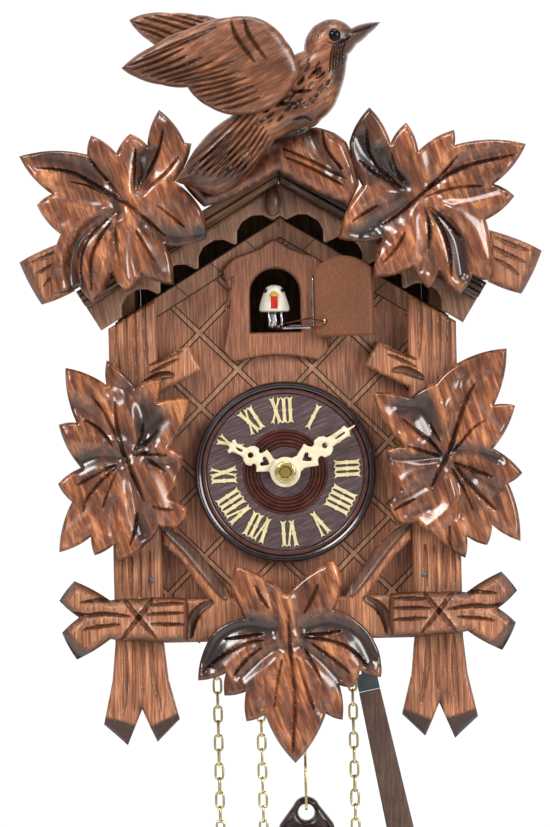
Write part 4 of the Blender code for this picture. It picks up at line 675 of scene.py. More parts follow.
upperLeftLeaf = dict(
    thick=6.6, edge=(1.5, 1.5), edgeStainAndShade=0.2, bow=0.07, step=0.5,
    swells=(
        (((-56, 92), (-66, 93.5), (-79, 94.5)), 4.2, 1.5), (((-54, 99), (-57, 107), (-63, 116)), 3.2, 1.2),
        (((-51, 98), (-52.5, 108), (-52, 116)), 2.4, 0.9), (((-48, 98), (-38, 103), (-32, 112), (-38, 122)),
                                                            3.0, 1.3),
        (((-47, 95), (-36, 97), (-29, 91)), 4.4, 1.6), (((-52, 90), (-49, 80), (-43, 71)), 3.6, 1.5),
        (((-62, 91), (-74, 86), (-77, 74)), 3.4, 1.6), (((-60, 84), (-62, 74), (-65, 66)), 2.4, 0.9),
        (((-56, 88), (-54.5, 78), (-54, 69)), 2.4, 0.9), (((-62, 97), (-74, 100), (-84, 105)), 2.6, 0.9)),
    valleys=(
        (((-86, 111), (-72, 108.5), (-61, 102)), 3.6, 1.6, 0.55),
        (((-44.5, 113), (-46, 106), (-48.5, 99)), 2.2, 2.0, 0.75),
        (((-57, 91.5), (-64, 88.5), (-70, 82), (-72.5, 74), (-72, 66)), 2.5, 2.6, 0.85),
        (((-46, 87), (-38, 82.5), (-28, 83)), 3.2, 2.0, 0.80),
        (((-79, 100), (-68, 97.5), (-58, 95)), 2.2, 1.3, 0.35),
        (((-57, 84), (-59.5, 76), (-60, 67)), 1.7, 1.2, 0.35),
        (((-51, 84), (-51, 76), (-50, 68)), 1.8, 1.1, 0.30),
        (((-47.5, 111), (-49, 104), (-50, 99)), 1.8, 0.8, 0.45)),
    cuts=(
        (((-84.5, 107.8), (-78, 107.2), (-71, 105.5), (-64, 101.5), (-58, 97.6), (-53, 94.5), (-47, 89.5),
          (-39.5, 82.8)), 0.95, 1.3),
        (((-66, 111), (-62.5, 106.5), (-58.5, 101.5), (-54.5, 96.5)), 0.8, 1.1),
        (((-73, 102.8), (-67, 101.3), (-62, 99), (-57.5, 96.6)), 0.6, 0.8),
        (((-49.5, 114), (-50, 108.5), (-50.2, 103), (-50, 99)), 0.75, 1.1),
        (((-47.8, 109), (-47.6, 105), (-48.8, 100.5)), 0.6, 0.8),
        (((-39.8, 120.5), (-41.2, 114), (-44, 107.5), (-48.3, 100.8)), 0.85, 1.3),
        (((-34.5, 110.8), (-38.5, 105.7), (-43, 101.8), (-47.5, 99)), 0.8, 1.1),
        (((-42.8, 93.8), (-38.5, 90.6), (-33, 85.8)), 0.75, 1.0),
        (((-50.2, 85.5), (-47, 79.5), (-43.5, 73.6)), 0.85, 1.2),
        (((-57, 88), (-57, 82), (-56.2, 75)), 0.8, 1.1),
        (((-58.3, 88.8), (-63, 82.5), (-65.8, 76), (-66, 69), (-66, 63.8)),
                                                         0.95, 1.5),
        (((-59, 90), (-65, 85), (-68.8, 78), (-69.5, 70), (-68.5, 64)), 0.6, 0.8)),
    shades=((-50, 112, 5, 6, 0.30), (-26.5, 86, 3, 7, 0.35), (-40, 68, 6, 4, 0.30), (-66, 67, 5, 5, 0.30),
            (-78, 112, 9, 3, 0.15)))
upperRightLeaf = dict(
    thick=6.6, edge=(1.5, 1.5), edgeStainAndShade=0.2, bow=0.07, step=0.5,
    swells=(
        (((51, 99), (49, 107), (47, 116)), 3.0, 1.2), (((46, 90), (46.5, 82), (45, 73)), 3.0, 1.5),
        (((53, 92), (64, 91.2), (78, 93)), 3.8, 1.5), (((42, 97), (32, 95), (24.5, 90)), 3.6, 1.3),
        (((41, 82), (37, 76), (32, 69)), 2.6, 1.4), (((60, 89), (67, 83), (71, 73)), 3.0, 1.6),
        (((56, 103), (62, 111), (62, 116)), 3.0, 1.0), (((70, 111), (80, 113)), 3.0, 0.8),
        (((58, 99.5), (70, 101.5), (79, 104)), 2.4, 0.8), (((54, 84), (56, 76), (59, 66)), 2.4, 0.8)),
    valleys=(
        (((28, 116), (31, 110), (37, 103.5), (43, 98.5)), 3.2, 2.2, 0.85),
        (((36, 112), (38, 106), (42, 100)), 2.2, 1.6, 0.6),
        (((76, 110), (64, 106.5), (53, 99)), 2.6, 1.4, 0.40),
        (((44, 92), (37, 88), (28, 82)), 3.0, 1.8, 0.80),
        (((56, 88), (61, 80), (63, 68)), 2.6, 2.2, 0.80), (((51, 86), (52, 78), (50, 69)), 1.8, 1.0, 0.35),
        (((40, 95), (34, 92.5), (28, 90)), 1.8, 0.8, 0.35), (((57, 94), (66, 94.5), (76, 97)), 1.8, 1.0,
            0.25),
        (((37.5, 79), (33, 84)), 2.0, 0.8, 0.5)),
    cuts=(
        (((35.3, 85), (41, 88.5), (46, 92.5), (50, 96.2), (55, 100), (61, 103.3), (68, 105.8), (77, 107.6),
          (83, 108.8)),
         1.0, 1.4),
        (((62.5, 109), (58, 103.8), (53, 98.6), (49.5, 95.5)), 0.75, 1.0),
        (((71, 98), (63, 97.7), (57, 96.6), (50.5, 94.5)), 0.8, 1.0),
        (((28, 108.2), (33, 103.5), (38.5, 100.5), (43, 98.2)), 0.8, 1.1),
        (((30.8, 119), (31.5, 112), (35, 105.5), (40.5, 99.8), (43.5, 97.5)), 0.95, 1.4),
        (((39.3, 110.5), (40.3, 105), (42.6, 99.8)), 0.7, 0.9),
        (((34.5, 92.3), (29.5, 89.5), (25, 86.6)), 0.8, 1.0),
        (((43.5, 82.8), (40.5, 77.5), (35.3, 71.8)), 0.95, 1.3),
        (((50.3, 91), (52, 84.5), (51.4, 76)), 0.8, 1.1),
        (((51.2, 91.5), (56, 84), (58.5, 76), (59.3, 66.5)), 1.0, 1.5),
        (((52, 91.4), (58, 86), (64.2, 78.3)), 0.75, 1.0)),
    shades=((28, 113, 4, 7, 0.30), (60, 70, 5, 8, 0.30), (27, 83, 5, 3, 0.25), (33, 104, 5, 5, 0.2),
            (57, 106, 6, 4, 0.12)))
leftSideLeaf = dict(
    thick=5.6, edge=(1.4, 1.5), edgeStainAndShade=0.2, bow=0.06, step=0.5,
    swells=(
        (((-60, 27), (-62, 21), (-58.5, 12)), 2.6, 1.2), (((-75, 14), (-65, 11.5)), 3.2, 1.2),
        (((-53, 3), (-47, -3), (-44, -12)), 3.6, 1.6), (((-61, 0), (-67, -12), (-76, -20)), 3.2, 1.1),
        (((-57, -6), (-59, -18), (-66, -25)), 3.0, 0.9), (((-74, 33), (-68, 29)), 2.4, 0.8),
        (((-52, 13), (-53, 24), (-50, 31)), 2.0, 0.7), (((-45, 9.5), (-41, 8.5)), 2.0, 0.8)),
    valleys=(
        (((-55, 30), (-49, 22), (-50, 12)), 3.8, 2.2, 0.75), (((-42, 20), (-47, 15)), 3.0, 1.2, 0.6),
        (((-74, 25), (-68, 22), (-61, 15)), 2.4, 1.5, 0.60),
        (((-58, 6), (-66, 7), (-73, 4)), 3.0, 2.0, 0.80),
        (((-54, 0), (-53, -9), (-51, -20)), 2.2, 1.6, 0.60), (((-60, -9), (-60.5, -20)), 2.0, 1.2, 0.35),
        (((-48, -14), (-48, -24)), 2.4, 1.2, 0.45), (((-48, 5), (-42, 3.5)), 1.6, 1.2, 0.6),
        (((-39, 4), (-38, 0)), 2, 0.6, 0.5)),
    cuts=(
        (((-59, 26), (-58.6, 19), (-57, 10), (-54.4, 3), (-51.5, -4.5), (-49.3, -9.8)), 1.0, 1.4),
        (((-67.5, 28.7), (-63, 22.5), (-59.8, 16), (-57, 9)), 0.85, 1.1),
        (((-70.3, 20.2), (-66, 17.5), (-62.5, 14), (-60, 10)), 0.75, 1.0),
        (((-58.5, 4), (-66, 1), (-73.2, -3.2)), 1.0, 1.5),
        (((-58.8, 3.3), (-65, -2.3), (-69.5, -7.5), (-71, -12.3)), 0.95, 1.4),
        (((-58.5, 2.5), (-62, -5), (-64.5, -12)), 0.7, 0.8),
        (((-53, 8.5), (-50.3, 13), (-49.3, 18.5)), 0.7, 0.9),
        (((-52.5, 8.8), (-47.5, 12.2), (-44.3, 15.8)), 0.85, 1.1),
        (((-53.3, 7.2), (-47.5, 7.6), (-41, 6.8)), 1.0, 1.5),
        (((-48.5, 5.8), (-44.5, 3), (-41.2, 0.5)), 0.7, 0.9),
        (((-47.2, -10.8), (-43.5, -11.9), (-39.2, -12.4)), 0.8, 1.1),
        (((-52, -12.5), (-53, -19), (-55.2, -24.8)), 0.75, 1.0)),
    shades=((-49, 20, 6, 6, 0.25), (-70, 5, 6, 4, 0.2), (-50, -22, 5, 7, 0.25), (-72, 22, 4, 4, 0.15)))
rightSideLeaf = dict(
    thick=5.6, edge=(1.4, 1.5), edgeStainAndShade=0.2, bow=0.06, step=0.5,
    swells=(
        (((52, 1), (44, -2.5), (40, -6)), 2.8, 1.3), (((58, -4), (58, -13), (49, -21)), 3.0, 1.8),
        (((66, 21), (74, 12)), 3.2, 1.0), (((63, -9), (70, -17), (76, -23)), 3.2, 1.0),
        (((70, 33), (62, 27)), 2.4, 0.7), (((56, 22), (56.5, 12)), 2.0, 0.9),
        (((41, 12), (46, 10)), 1.8, 0.9),
        (((64, 4), (75, -1)), 2.4, 0.4), (((60, -18), (62, -26)), 2.4, 0.8)),
    valleys=(
        (((40, 22), (48, 20), (52, 13)), 3.6, 2.2, 0.80), (((62, 31), (60, 22), (57.5, 12)), 2.0, 1.3,
                                                           0.40),
        (((60, 6), (67, 5.5), (74, 3)), 2.6, 1.8, 0.65), (((54, 4.2), (45, 3.8), (36, 4.5)), 1.7, 1.5,
                                                          0.70),
        (((48, -6), (41, -9.5), (36, -10.5)), 2.0, 1.2, 0.55),
        (((58.5, -1), (61, -9), (60.5, -17)), 1.9, 1.5, 0.55),
        (((68, -4), (74, -8)), 2.2, 0.9, 0.35), (((43, -16), (49, -14)), 2.0, 0.8, 0.45),
        (((49, 24), (44, 22)), 3, 0.6, 0.5)),
    cuts=(
        (((67, 30), (63.8, 24), (61.5, 18), (59.5, 12), (57, 5), (53, -2), (50.8, -6.8)), 1.1, 1.5),
        (((70.5, 16.8), (66, 14), (61.5, 9), (57.5, 4.5)), 0.75, 1.0),
        (((41, 17.8), (46, 13.5), (51, 9.5), (55, 4.8)), 0.9, 1.3),
        (((42.5, 8.3), (48.5, 6.2), (54.5, 4.2)), 0.75, 1.0),
        (((58.5, 2.2), (65, -0.5), (72.5, -3.2)), 1.0, 1.5),
        (((58.8, 1.6), (64, -5), (68.5, -10), (73.3, -15)), 1.0, 1.5),
        (((58, 0.5), (62, -7), (65.2, -15)), 0.75, 1.0),
        (((45.3, -10.2), (41, -12.4), (37, -14.4)), 0.8, 1.1),
        (((57, -19.5), (56.8, -24), (57.6, -28.5)), 0.75, 1.0),
        (((54.5, 9), (52.3, 13), (50.8, 16.5)), 0.7, 0.9)),
    shades=((48, 20, 6, 5, 0.30), (72, 4, 5, 4, 0.2), (66, 32, 6, 4, 0.15), (39, -10, 4, 3, 0.2)))
bottomLeaf = dict(
    thick=5.6, edge=(1.4, 1.5), edgeStainAndShade=0.2, bow=0.06, step=0.5,
    swells=(
        (((-14, -38), (-13, -48)), 3.0, 0.9), (((0, -44), (0, -52)), 2.4, 1.2),
        (((14, -36), (10, -48)), 3.0, 0.9),
        (((-5, -65), (-11, -78)), 3.0, 1.0), (((5, -66), (12, -78)), 3.0, 1.0),
        (((-3, -75), (-3, -90)), 2.4, 0.9),
        (((5, -78), (5, -90)), 2.4, 0.7), (((-14, -61), (-22, -68)), 2.2, 0.9),
        (((13, -62), (23, -68)), 2.2, 0.9),
        (((-2, -57), (2, -57)), 3.0, 0.8)),
    valleys=(
        (((-6, -55), (-15, -53.5), (-24, -57.5), (-29, -66)), 3.4, 2.4, 0.95),
        (((6, -55), (15, -53.2), (24, -57.5), (28.5, -66)), 3.4, 2.4, 0.95),
        (((-4, -61.5), (-10, -65), (-17, -71)), 2.2, 1.5, 0.60),
        (((4, -61), (11, -66), (17, -72.5)), 2.4, 1.6, 0.65),
        (((-4.5, -50), (-6, -42)), 1.8, 0.7, 0.15), (((-7, -72), (-9, -82)), 1.6, 0.8, 0.2),
        (((9, -74), (11, -84)), 1.8, 0.8, 0.2)),
    cuts=(
        (((0, -48), (0, -58), (0.8, -68), (1.6, -80), (0.9, -91), (0.3, -98.5)), 1.0, 1.4),
        (((-11.6, -39), (-9.5, -43.5), (-6.8, -47.8)), 0.85, 1.1),
        (((10.7, -38.8), (8.5, -44), (5.2, -49.8)), 0.85, 1.1),
        (((-23, -57.9), (-16, -57.2), (-8.5, -56.2)), 0.8, 1.1),
        (((-31, -69.6), (-22, -62.8), (-14, -59.3), (-8.5, -58.6)), 0.9, 1.3),
        (((-19.8, -70.8), (-15, -65), (-9.5, -61)), 0.85, 1.2),
        (((-5.7, -82.5), (-4.6, -74), (-2.6, -65)), 0.85, 1.1),
        (((18.8, -55.7), (12, -56.8), (3.8, -57)), 0.8, 1.1),
        (((28.3, -70.2), (22, -62.8), (14, -59.2), (3.8, -57.6)), 0.9, 1.3),
        (((21.3, -71), (15, -65.5), (7, -59.5)), 0.85, 1.2),
        (((11.2, -73.8), (8.5, -68), (5, -61.5)), 0.8, 1.0),
        (((8.2, -83.5), (5.5, -75), (2.2, -64.5)), 0.85, 1.1)),
    shades=((-26, -63, 5, 5, 0.25), (26, -63, 5, 5, 0.25), (14, -78, 4, 4, 0.15)))

leafBody = "case"
carveBoard("upperLeftLeaf", boardOutline("upper_left_leaf"), layers["crown"], upperLeftLeaf,
           "carvedLacquer",
           leafBody, "upper_left_leaf")
carveBoard("upperRightLeaf", boardOutline("upper_right_leaf"), layers["crown"], upperRightLeaf,
           "carvedLacquer",
           leafBody, "upper_right_leaf")
carveBoard("leftSideLeaf", boardOutline("left_side_leaf"), layers["leaf"], leftSideLeaf, "carvedLacquer",
           leafBody, "left_side_leaf")
carveBoard("rightSideLeaf", boardOutline("right_side_leaf"), layers["leaf"], rightSideLeaf, "carvedLacquer",
           leafBody, "right_side_leaf")
carveBoard("bottomLeaf", boardOutline("bottom_leaf"), layers["leaf"], bottomLeaf, "carvedLacquer",
           leafBody, "bottom_leaf")


def flipped(look):
    # the same carving for the other side of the clock
    made = dict(look)
    for key in ("swells", "valleys", "cuts", "gouges"):
        if key in look:
            made[key] = tuple((tuple((-x, z) for x, z in line), *rest) for line, *rest in look[key])
    if "shades" in look:
        made["shades"] = tuple((-x, *rest) for x, *rest in look["shades"])
    if "bevels" in look:
        made["bevels"] = tuple(((-b[0], b[1]), (-a[0], a[1]), *rest) for a, b, *rest in look["bevels"])
    return made


leftVine = dict(
    thick=9.4, edge=(2.0, 2.2), edgeStainAndShade=0.3, bow=0.03, step=0.5, stainAndShade=0.05,
    gouges=((((-74, 80.5), (-80, 77.6), (-87, 75)), 0.9, 1.1, 0.5),
            (((-73, 77.5), (-79, 74), (-85.5, 71)), 0.9, 1.2, 0.55),
            (((-74, 73), (-79, 70), (-83, 66.5)), 0.8, 1.0, 0.5)),
    bevels=(((-88.8, 79.5), (-81.0, 57.5), 1.0, 0.45, 12.0),))
vineOutline = [(-72.2, 83.0), (-91.2, 75.3), (-83.7, 60.5), (-72.2, 65.0)]
vineBack = layers["crown"] + 6.0
carveBoard("upperLeftVine", vineOutline, vineBack, leftVine, "carvedPost", leafBody, "upper_left_leaf")
carveBoard("upperRightVine", [(-x, z) for x, z in reversed(vineOutline)], vineBack, flipped(leftVine),
           "carvedPost", leafBody, "upper_right_leaf")
print("leaves carved")

# songbird

songbird = dict(tailFeathers=9, chips=46, chipLength=(2.6, 4.6), eye=(20.2, 150.5), eyeRadius=2.25)
bodyCuts = []
for i in range(songbird["tailFeathers"]):
    t = i / (songbird["tailFeathers"] - 1)
    startX, startZ = -9 + 7 * t, 127.5 - 12 * t
    endX, endZ = -34.5 + 22.5 * t, 105.5 - 5.0 * t + 3.0 * t * t
    bend = 1.2 * math.sin(3.1 * t)
    bodyCuts.append((((startX, startZ), ((startX + endX) / 2 + bend, (startZ + endZ) / 2 - 1.0),
                      (endX, endZ)),
                     0.75, 1.1))
for i in range(8):  # shorter cuts between the long ones
    t = (i + 0.5) / 8
    startX, startZ = -17 + 9 * t, 118.5 - 8 * t
    endX, endZ = -33 + 20 * t, 103.8 - 4.2 * t + 2.4 * t * t
    bodyCuts.append((((startX, startZ), (endX, endZ)), 0.5, 0.7))
for i in range(songbird["chips"]):
    t = draw.random()
    across = draw.random() - 0.5
    cx = -9 + 27 * t + 5.5 * across
    cz = 124.5 + 15.5 * t - 11 * across - 2.0 * math.sin(3 * t)
    length = draw.uniform(*songbird["chipLength"])
    lean = math.radians(28 + 22 * t + draw.uniform(-16, 16))
    dx, dz = math.cos(lean) * length / 2, math.sin(lean) * length / 2
    hook = draw.uniform(-0.7, 0.7)
    bodyCuts.append((((cx - dx, cz - dz), (cx - dz * 0.2 * hook, cz + dx * 0.5 * hook), (cx + dx, cz + dz)),
                     draw.uniform(0.5, 0.85), draw.uniform(0.6, 1.1)))
for i in range(5):  # crown and throat stripes
    bodyCuts.append((((10.6 + 1.1 * i, 146.8 + 0.9 * i), (12.0 + 1.5 * i, 152.2 + 0.6 * i),
                      (15.8 + 1.2 * i, 156.2)), 0.32, 0.4))
    bodyCuts.append((((26.0 - 0.5 * i, 150.6 - 0.5 * i), (23.2 - 0.9 * i, 146.4),
                      (22.6 - 1.1 * i, 139.5 - 0.6 * i)), 0.5, 0.7))
bodyCuts += [
    (((26.0, 151.3), (30.5, 152.6), (35.6, 154.9)), 0.42, 0.8),
    (((17.2, 148.6), (20.2, 147.6), (24, 149.5)), 0.4, 0.5),
    (((1, 134), (6, 131.5), (12, 131.8)), 0.9, 1.4), (((-4, 129.5), (1, 127.4), (6, 127.6)), 0.9, 1.3),
    (((-6, 138.8), (-2.5, 137.2), (2, 138)), 0.9, 1.3), (((5, 121.5), (9, 122.5), (12, 121)), 0.8, 1.0),
]
birdLook = dict(
    thick=11.4, edge=(0.8, 1.0), rounded=(7.4, 6.4), bow=0.04, step=0.42, least=1.6, cuts=tuple(bodyCuts),
    stainAndShade=0.08,
    swells=((((18, 151.5), (20, 151)), 5.0, 0.5),),
    valleys=((((23.5, 150), (22.5, 143), (21, 136)), 2.4, 0.6, 0.75),
             (((27.5, 151.8), (34, 154)), 1.6, 0.2, 0.7),
             (((-30, 101), (-12, 101.5)), 3.0, 1.6, 0.45), (((4, 119), (16, 124)), 2.2, 0.5, 0.45),
             (((-20, 120), (-34, 108)), 2.0, 1.4, 0.2)),
    shades=((20.2, 150.5, 3.0, 2.8, 0.35), (-16, 103, 9, 4, 0.25)))
carveBoard("songbirdBody", boardOutline("songbird_body"), layers["bird"], birdLook, "featheredWood", "case",
           "songbird_body")

nearCuts = []
starts = ((-51, 141.2), (-50, 139.6), (-46.8, 138.5), (-44, 137.3), (-41.5, 136.2), (-38.6, 135.5),
          (-35.6, 135.2),
          (-32.4, 134.8), (-30.4, 133.2), (-29.3, 131.4), (-27.4, 129.9), (-25, 128.2), (-22.2, 126.8),
          (-19.2, 125.4))
ends = ((-22, 152.8), (-31.5, 146.8), (-30.5, 144.4), (-24.5, 143.9), (-21.5, 142.2), (-13.2, 142.4),
        (-17, 139.2),
        (-12, 138.6), (-13.2, 136.6), (-10, 136.4), (-9.6, 134.4), (-7.4, 133.6), (-6.4, 131.6),
        (-5.6, 129.4))
for (ax, az), (bx, bz) in zip(starts, ends):
    nearCuts.append((((ax, az), ((ax + bx) / 2, (az + bz) / 2 - 0.5), (bx, bz)), 0.8, 1.0))
nearCuts += [(((-15.4, 156.2), (-13.4, 150), (-7.2, 141.2)), 1.05, 1.4),
             (((-10.8, 156.4), (-9, 150.5), (-3.2, 142)), 1.05, 1.4),
             (((-46, 144), (-32, 149.6), (-20, 153.9)), 0.6, 0.8)]
nearWing = dict(
    thick=4.6, edge=(0.8, 1.0), rounded=(2.6, 4.5), bow=0.05, step=0.42, least=0.7, cuts=tuple(nearCuts),
    swells=((((-4, 152), (-2, 144)), 4.0, 0.8), (((-20, 148), (-12, 138)), 4.5, 0.6)),
    valleys=((((-8, 154.5), (-2, 148)), 2.4, 0.3, 0.30), (((-48, 141), (-34, 142)), 4.0, 0.2, 0.25)),
    shades=((-5, 156, 8, 3, 0.30), (-22, 128, 6, 3, 0.2)))
carveBoard("songbirdNearWing", boardOutline("songbird_near_wing"), layers["nearWing"], nearWing,
           "featheredWood",
           "case", "songbird_near_wing")
farCuts = [(((ax, az), ((ax + bx) / 2, (az + bz) / 2 + 0.4), (bx, bz)), 0.85, 1.0) for (ax, az),
           (bx, bz) in (
    ((-49.4, 157.6), (-33, 151.6)), ((-46.6, 159.2), (-28.5, 153.2)), ((-42.5, 159.8), (-24.5, 154.4)),
    ((-37.2, 159.9), (-21, 155.2)), ((-31, 159.6), (-17.5, 155.6)), ((-47.2, 155.2), (-37.5, 151)),
    ((-25, 158.8), (-15, 156)))]
farWing = dict(thick=4.4, edge=(0.8, 1.0), rounded=(2.0, 3.5), bow=0.05, step=0.42, least=0.7,
               cuts=tuple(farCuts),
               stainAndShade=0.06)
carveBoard("songbirdFarWing", boardOutline("songbird_far_wing"), layers["farWing"], farWing,
           "featheredWood", "case",
           "songbird_far_wing")
eyeX, eyeZ = songbird["eye"]
eyeProfile = [(songbird["eyeRadius"] * math.sin(a), songbird["eyeRadius"] * 0.75 * math.cos(a))
              for a in np.linspace(0.001, 1.9, 14)]
eyePoints, eyeFaces = latheShape(eyeProfile[::-1], (eyeX, layers["bird"] - 11.0, eyeZ), "Y", 32)
facingOut(makePiece("songbirdEye", eyePoints, eyeFaces, "blackGlass", "case"))
print("songbird carved")

# posts, feet, rail and crossed branches

leftPost = dict(
    thick=8.2, edge=(1.2, 1.3), edgeStainAndShade=0.15, bow=0.0, step=0.6, stainAndShade=0.02,
    gouges=(
        (((-58.3, 60), (-58.3, 46), (-57.5, 34), (-56.5, 20)), 1.0, 1.0, 0.35),
        (((-54.8, 66), (-54.9, 46), (-54.2, 30)), 0.9, 0.9, 0.30),
        (((-51.6, 68), (-51.8, 48), (-51, 30)), 0.9, 0.9, 0.35),
        (((-48.2, 68), (-48.4, 50), (-47.6, 38)), 1.0, 1.0, 0.35),
        (((-58.2, -26), (-58.4, -42)), 0.8, 0.8, 0.30), (((-55, -26), (-55, -43)), 0.9, 0.9, 0.35),
        (((-51.8, -26), (-51.9, -45)), 0.8, 0.8, 0.30), (((-48.4, -26), (-48.6, -42)), 0.9, 0.9, 0.35),
        (((-57.6, -56), (-57.6, -70), (-58.6, -84)), 1.1, 1.0, 0.40),
        (((-54.6, -56), (-54.6, -70), (-55, -83)), 0.9, 0.9, 0.35),
        (((-51.6, -52), (-51.8, -66), (-51.6, -78)), 1.0, 0.9, 0.35),
        (((-48.6, -56), (-48, -70), (-45.4, -83)), 1.1, 1.0, 0.40),
        (((-34.8, 43.4), (-40, 41.3), (-47.2, 38.2)), 0.8, 1.2, 0.70),
        (((-36.4, 40.6), (-41, 38.6), (-47, 35.6)), 0.8, 1.2, 0.70),
        (((-38, 34.8), (-43, 34.6), (-49.5, 31.6)), 1.7, 1.9, 0.75)),
    bevels=(((-68.5, -83.4), (-53.6, -87.6), 0.9, 1.15, 14.0),
            ((-50.6, -88.4), (-36.5, -82.4), 0.9, 1.15, 14.0)),
    shades=((-52.6, -81.5, 1.3, 3.6, 0.9), (-50, 30, 6, 3, 0.3), (-52, -28, 9, 3, 0.35)))
for side, look in (("left", leftPost), ("right", flipped(leftPost))):
    carveBoard(f"{side}Post", boardOutline(f"{side}_post"), layers["frame"], look, "carvedPost", "case",
               f"{side}_post")

railLook = dict(
    thick=7.8, edge=(1.4, 1.6), edgeStainAndShade=0.25, bow=0.0, step=0.6,
    gouges=((((-43.4, -18.6), (-35, -26.5), (-28, -35.5), (-21.5, -44.5)), 2.5, 2.6, 0.78),
            (((43.4, -18.6), (35, -26.5), (28, -35.5), (21.5, -44.5)), 2.5, 2.6, 0.78),
            (((-26, -44.6), (-31.2, -47.6), (-34.0, -52), (-35.0, -58)), 2.0, 1.8, 0.85),
            (((26, -44.6), (31.2, -47.6), (34.0, -52), (35.0, -58)), 2.0, 1.8, 0.85)))
carveBoard("lowerRail", boardOutline("lower_rail"), layers["frame"], railLook, "carvedPost", "case",
           "lower_rail")

leftCross = dict(
    thick=6.6, edge=(3.4, 3.2), edgeStainAndShade=1.1, bow=0.03, step=0.5,
    gouges=(
        (((-73, -43.9), (-66, -43.3), (-58.6, -43.9)), 0.8, 1.4, 0.75),
        (((-75.5, -47.2), (-70, -48.4), (-64, -48), (-55, -49.2)), 0.9, 1.5, 0.80),
        (((-72, -53.4), (-66, -52.4), (-58.8, -51.8)), 0.8, 1.4, 0.75),
        (((-48.6, -45.3), (-40, -45.1), (-36.2, -45.1)), 0.8, 1.4, 0.75),
        (((-50, -48.6), (-44, -48.4), (-36.2, -48.3)), 0.8, 1.4, 0.75),
        (((-48.6, -51.9), (-44, -52.1), (-36.2, -52.4)), 0.8, 1.4, 0.75),
        (((-58.6, -41.6), (-52.6, -49.4), (-46.2, -57.2)), 1.0, 2.0, 0.85),
        (((-46.6, -42.2), (-52.4, -49.6), (-58.8, -57.4)), 1.0, 2.0, 0.85)),
    swells=((((-57.4, -42.6), (-52.6, -49.4), (-47.4, -56.2)), 1.5, 0.9),
            (((-47.6, -43.2), (-52.4, -49.6), (-57.8, -56.4)), 1.5, 0.9),
            (((-70, -46), (-60, -46.2)), 1.2, 0.5), (((-70, -51), (-60, -50)), 1.2, 0.5)),
    bevels=(((-71.0, -35.5), (-78.0, -48.0), 0.75, 0.12, 9.0),
            ((-79.6, -51.0), (-69.4, -62.0), 0.9, 0.6, 9.0)))
for side, look in (("left", leftCross), ("right", flipped(leftCross))):
    carveBoard(f"{side}Crossbranch", boardOutline(f"{side}_crossbranch"), layers["leaf"], look,
               "carvedPost", "case",
               f"{side}_crossbranch")

crownLook = dict(
    thick=7.4, edge=(2.4, 3.0), edgeStainAndShade=0.3, bow=0.03, step=0.6, stainAndShade=0.18,
    cuts=((((1, 112.8), (12, 107.6), (24, 101.4)), 0.8, 1.2),
          (((2, 109.6), (12, 105), (23, 98.8)), 0.8, 1.2),
          (((15.4, 119), (16.8, 112), (23, 103.6)), 0.8, 1.1), (((6, 117.6), (9, 119)), 0.6, 0.8)),
    valleys=((((-2, 112), (-14, 106), (-23, 100)), 4.0, 1.8, 0.60),
             (((12, 117), (14.5, 110), (20, 104)), 2.2, 1.4, 0.50),
             (((2, 116.5), (10, 118)), 2.4, 0.8, 0.45)),
    swells=((((6, 112), (16, 106)), 3.0, 0.9), (((20, 114), (24, 106)), 2.4, 0.9)))
carveBoard("crownBranch", boardOutline("crown_branch"), layers["crown"], crownLook, "carvedLacquer", "case",
           "crown_branch")

nails = dict(radius=0.95, rise=0.55, places=((-47.6, -37.0), (47.6, -37.0)))
for i, (x, z) in enumerate(nails["places"]):
    dome = [(nails["radius"] * math.cos(a), nails["rise"] * math.sin(a)) for a in np.linspace(0.0,
        math.pi / 2 - 0.02, 7)]
    points, faces = latheShape([(nails["radius"], -1.4), *dome], (x, layers["frame"] - 8.1, z), "Y", 24)
    facingOut(makePiece(f"postNail{i + 1}", points, faces, "blueSteel", "case"))
print("frame carved")

# roof

roof = dict(apex=boxOf("roof_right_moulding")[1][2], slope=math.radians(31.5), grooves=(1.9, 4.0))


def onSlope(x, depth):
    return (x, roof["apex"] - abs(x) * math.tan(roof["slope"]) - depth / math.cos(roof["slope"]))


mouldingBack = boxOf("roof_right_moulding")[1][1]
mouldingDepth = mouldingBack - boxOf("roof_right_moulding")[0][1]
# left and right mouldings take the lit and shaded copies of one wood: painted light on the left slope,
# painted shade on the right
for side, sign, finish in (("left", -1, "brownMoulding"), ("right", 1, "darkMoulding")):
    cuts = tuple(((onSlope(sign * -2.0, depth), onSlope(sign * 76.0, depth)), 0.55,
                  1.2) for depth in roof["grooves"])
    look = dict(thick=mouldingDepth - 0.2, edge=(0.9, 0.8), bow=0.0, step=0.9, cuts=cuts)
    outline = [(0.0 if abs(x) < 0.6 else x, z) for x, z in boardOutline(f"roof_{side}_moulding")]
    carveBoard(f"{side}Moulding", outline, mouldingBack, look, finish, "case",
               f"roof_{side}_moulding")
fasciaBox = boxOf("gable_fascia")


def smoothCurves(outline, longest=4.0, sharpest=42.0):
    # runs of short edges that turn gently become curves; the corners between them stay
    count = len(outline)
    sharp = []
    for i, here in enumerate(outline):
        before, after = outline[i - 1], outline[(i + 1) % count]
        first = (here[0] - before[0], here[1] - before[1])
        second = (after[0] - here[0], after[1] - here[1])
        turn = abs(math.degrees(math.atan2(first[0] * second[1] - first[1] * second[0],
                                           first[0] * second[0] + first[1] * second[1])))
        sharp.append(turn > sharpest or math.hypot(*first) > longest or math.hypot(*second) > longest)
    start = sharp.index(True)
    made, run = [], [outline[start]]
    for k in range(1, count + 1):
        i = (start + k) % count
        run.append(outline[i])
        if sharp[i]:
            made += smoothLine(run, 5)[:-1]
            run = [outline[i]]
    return made
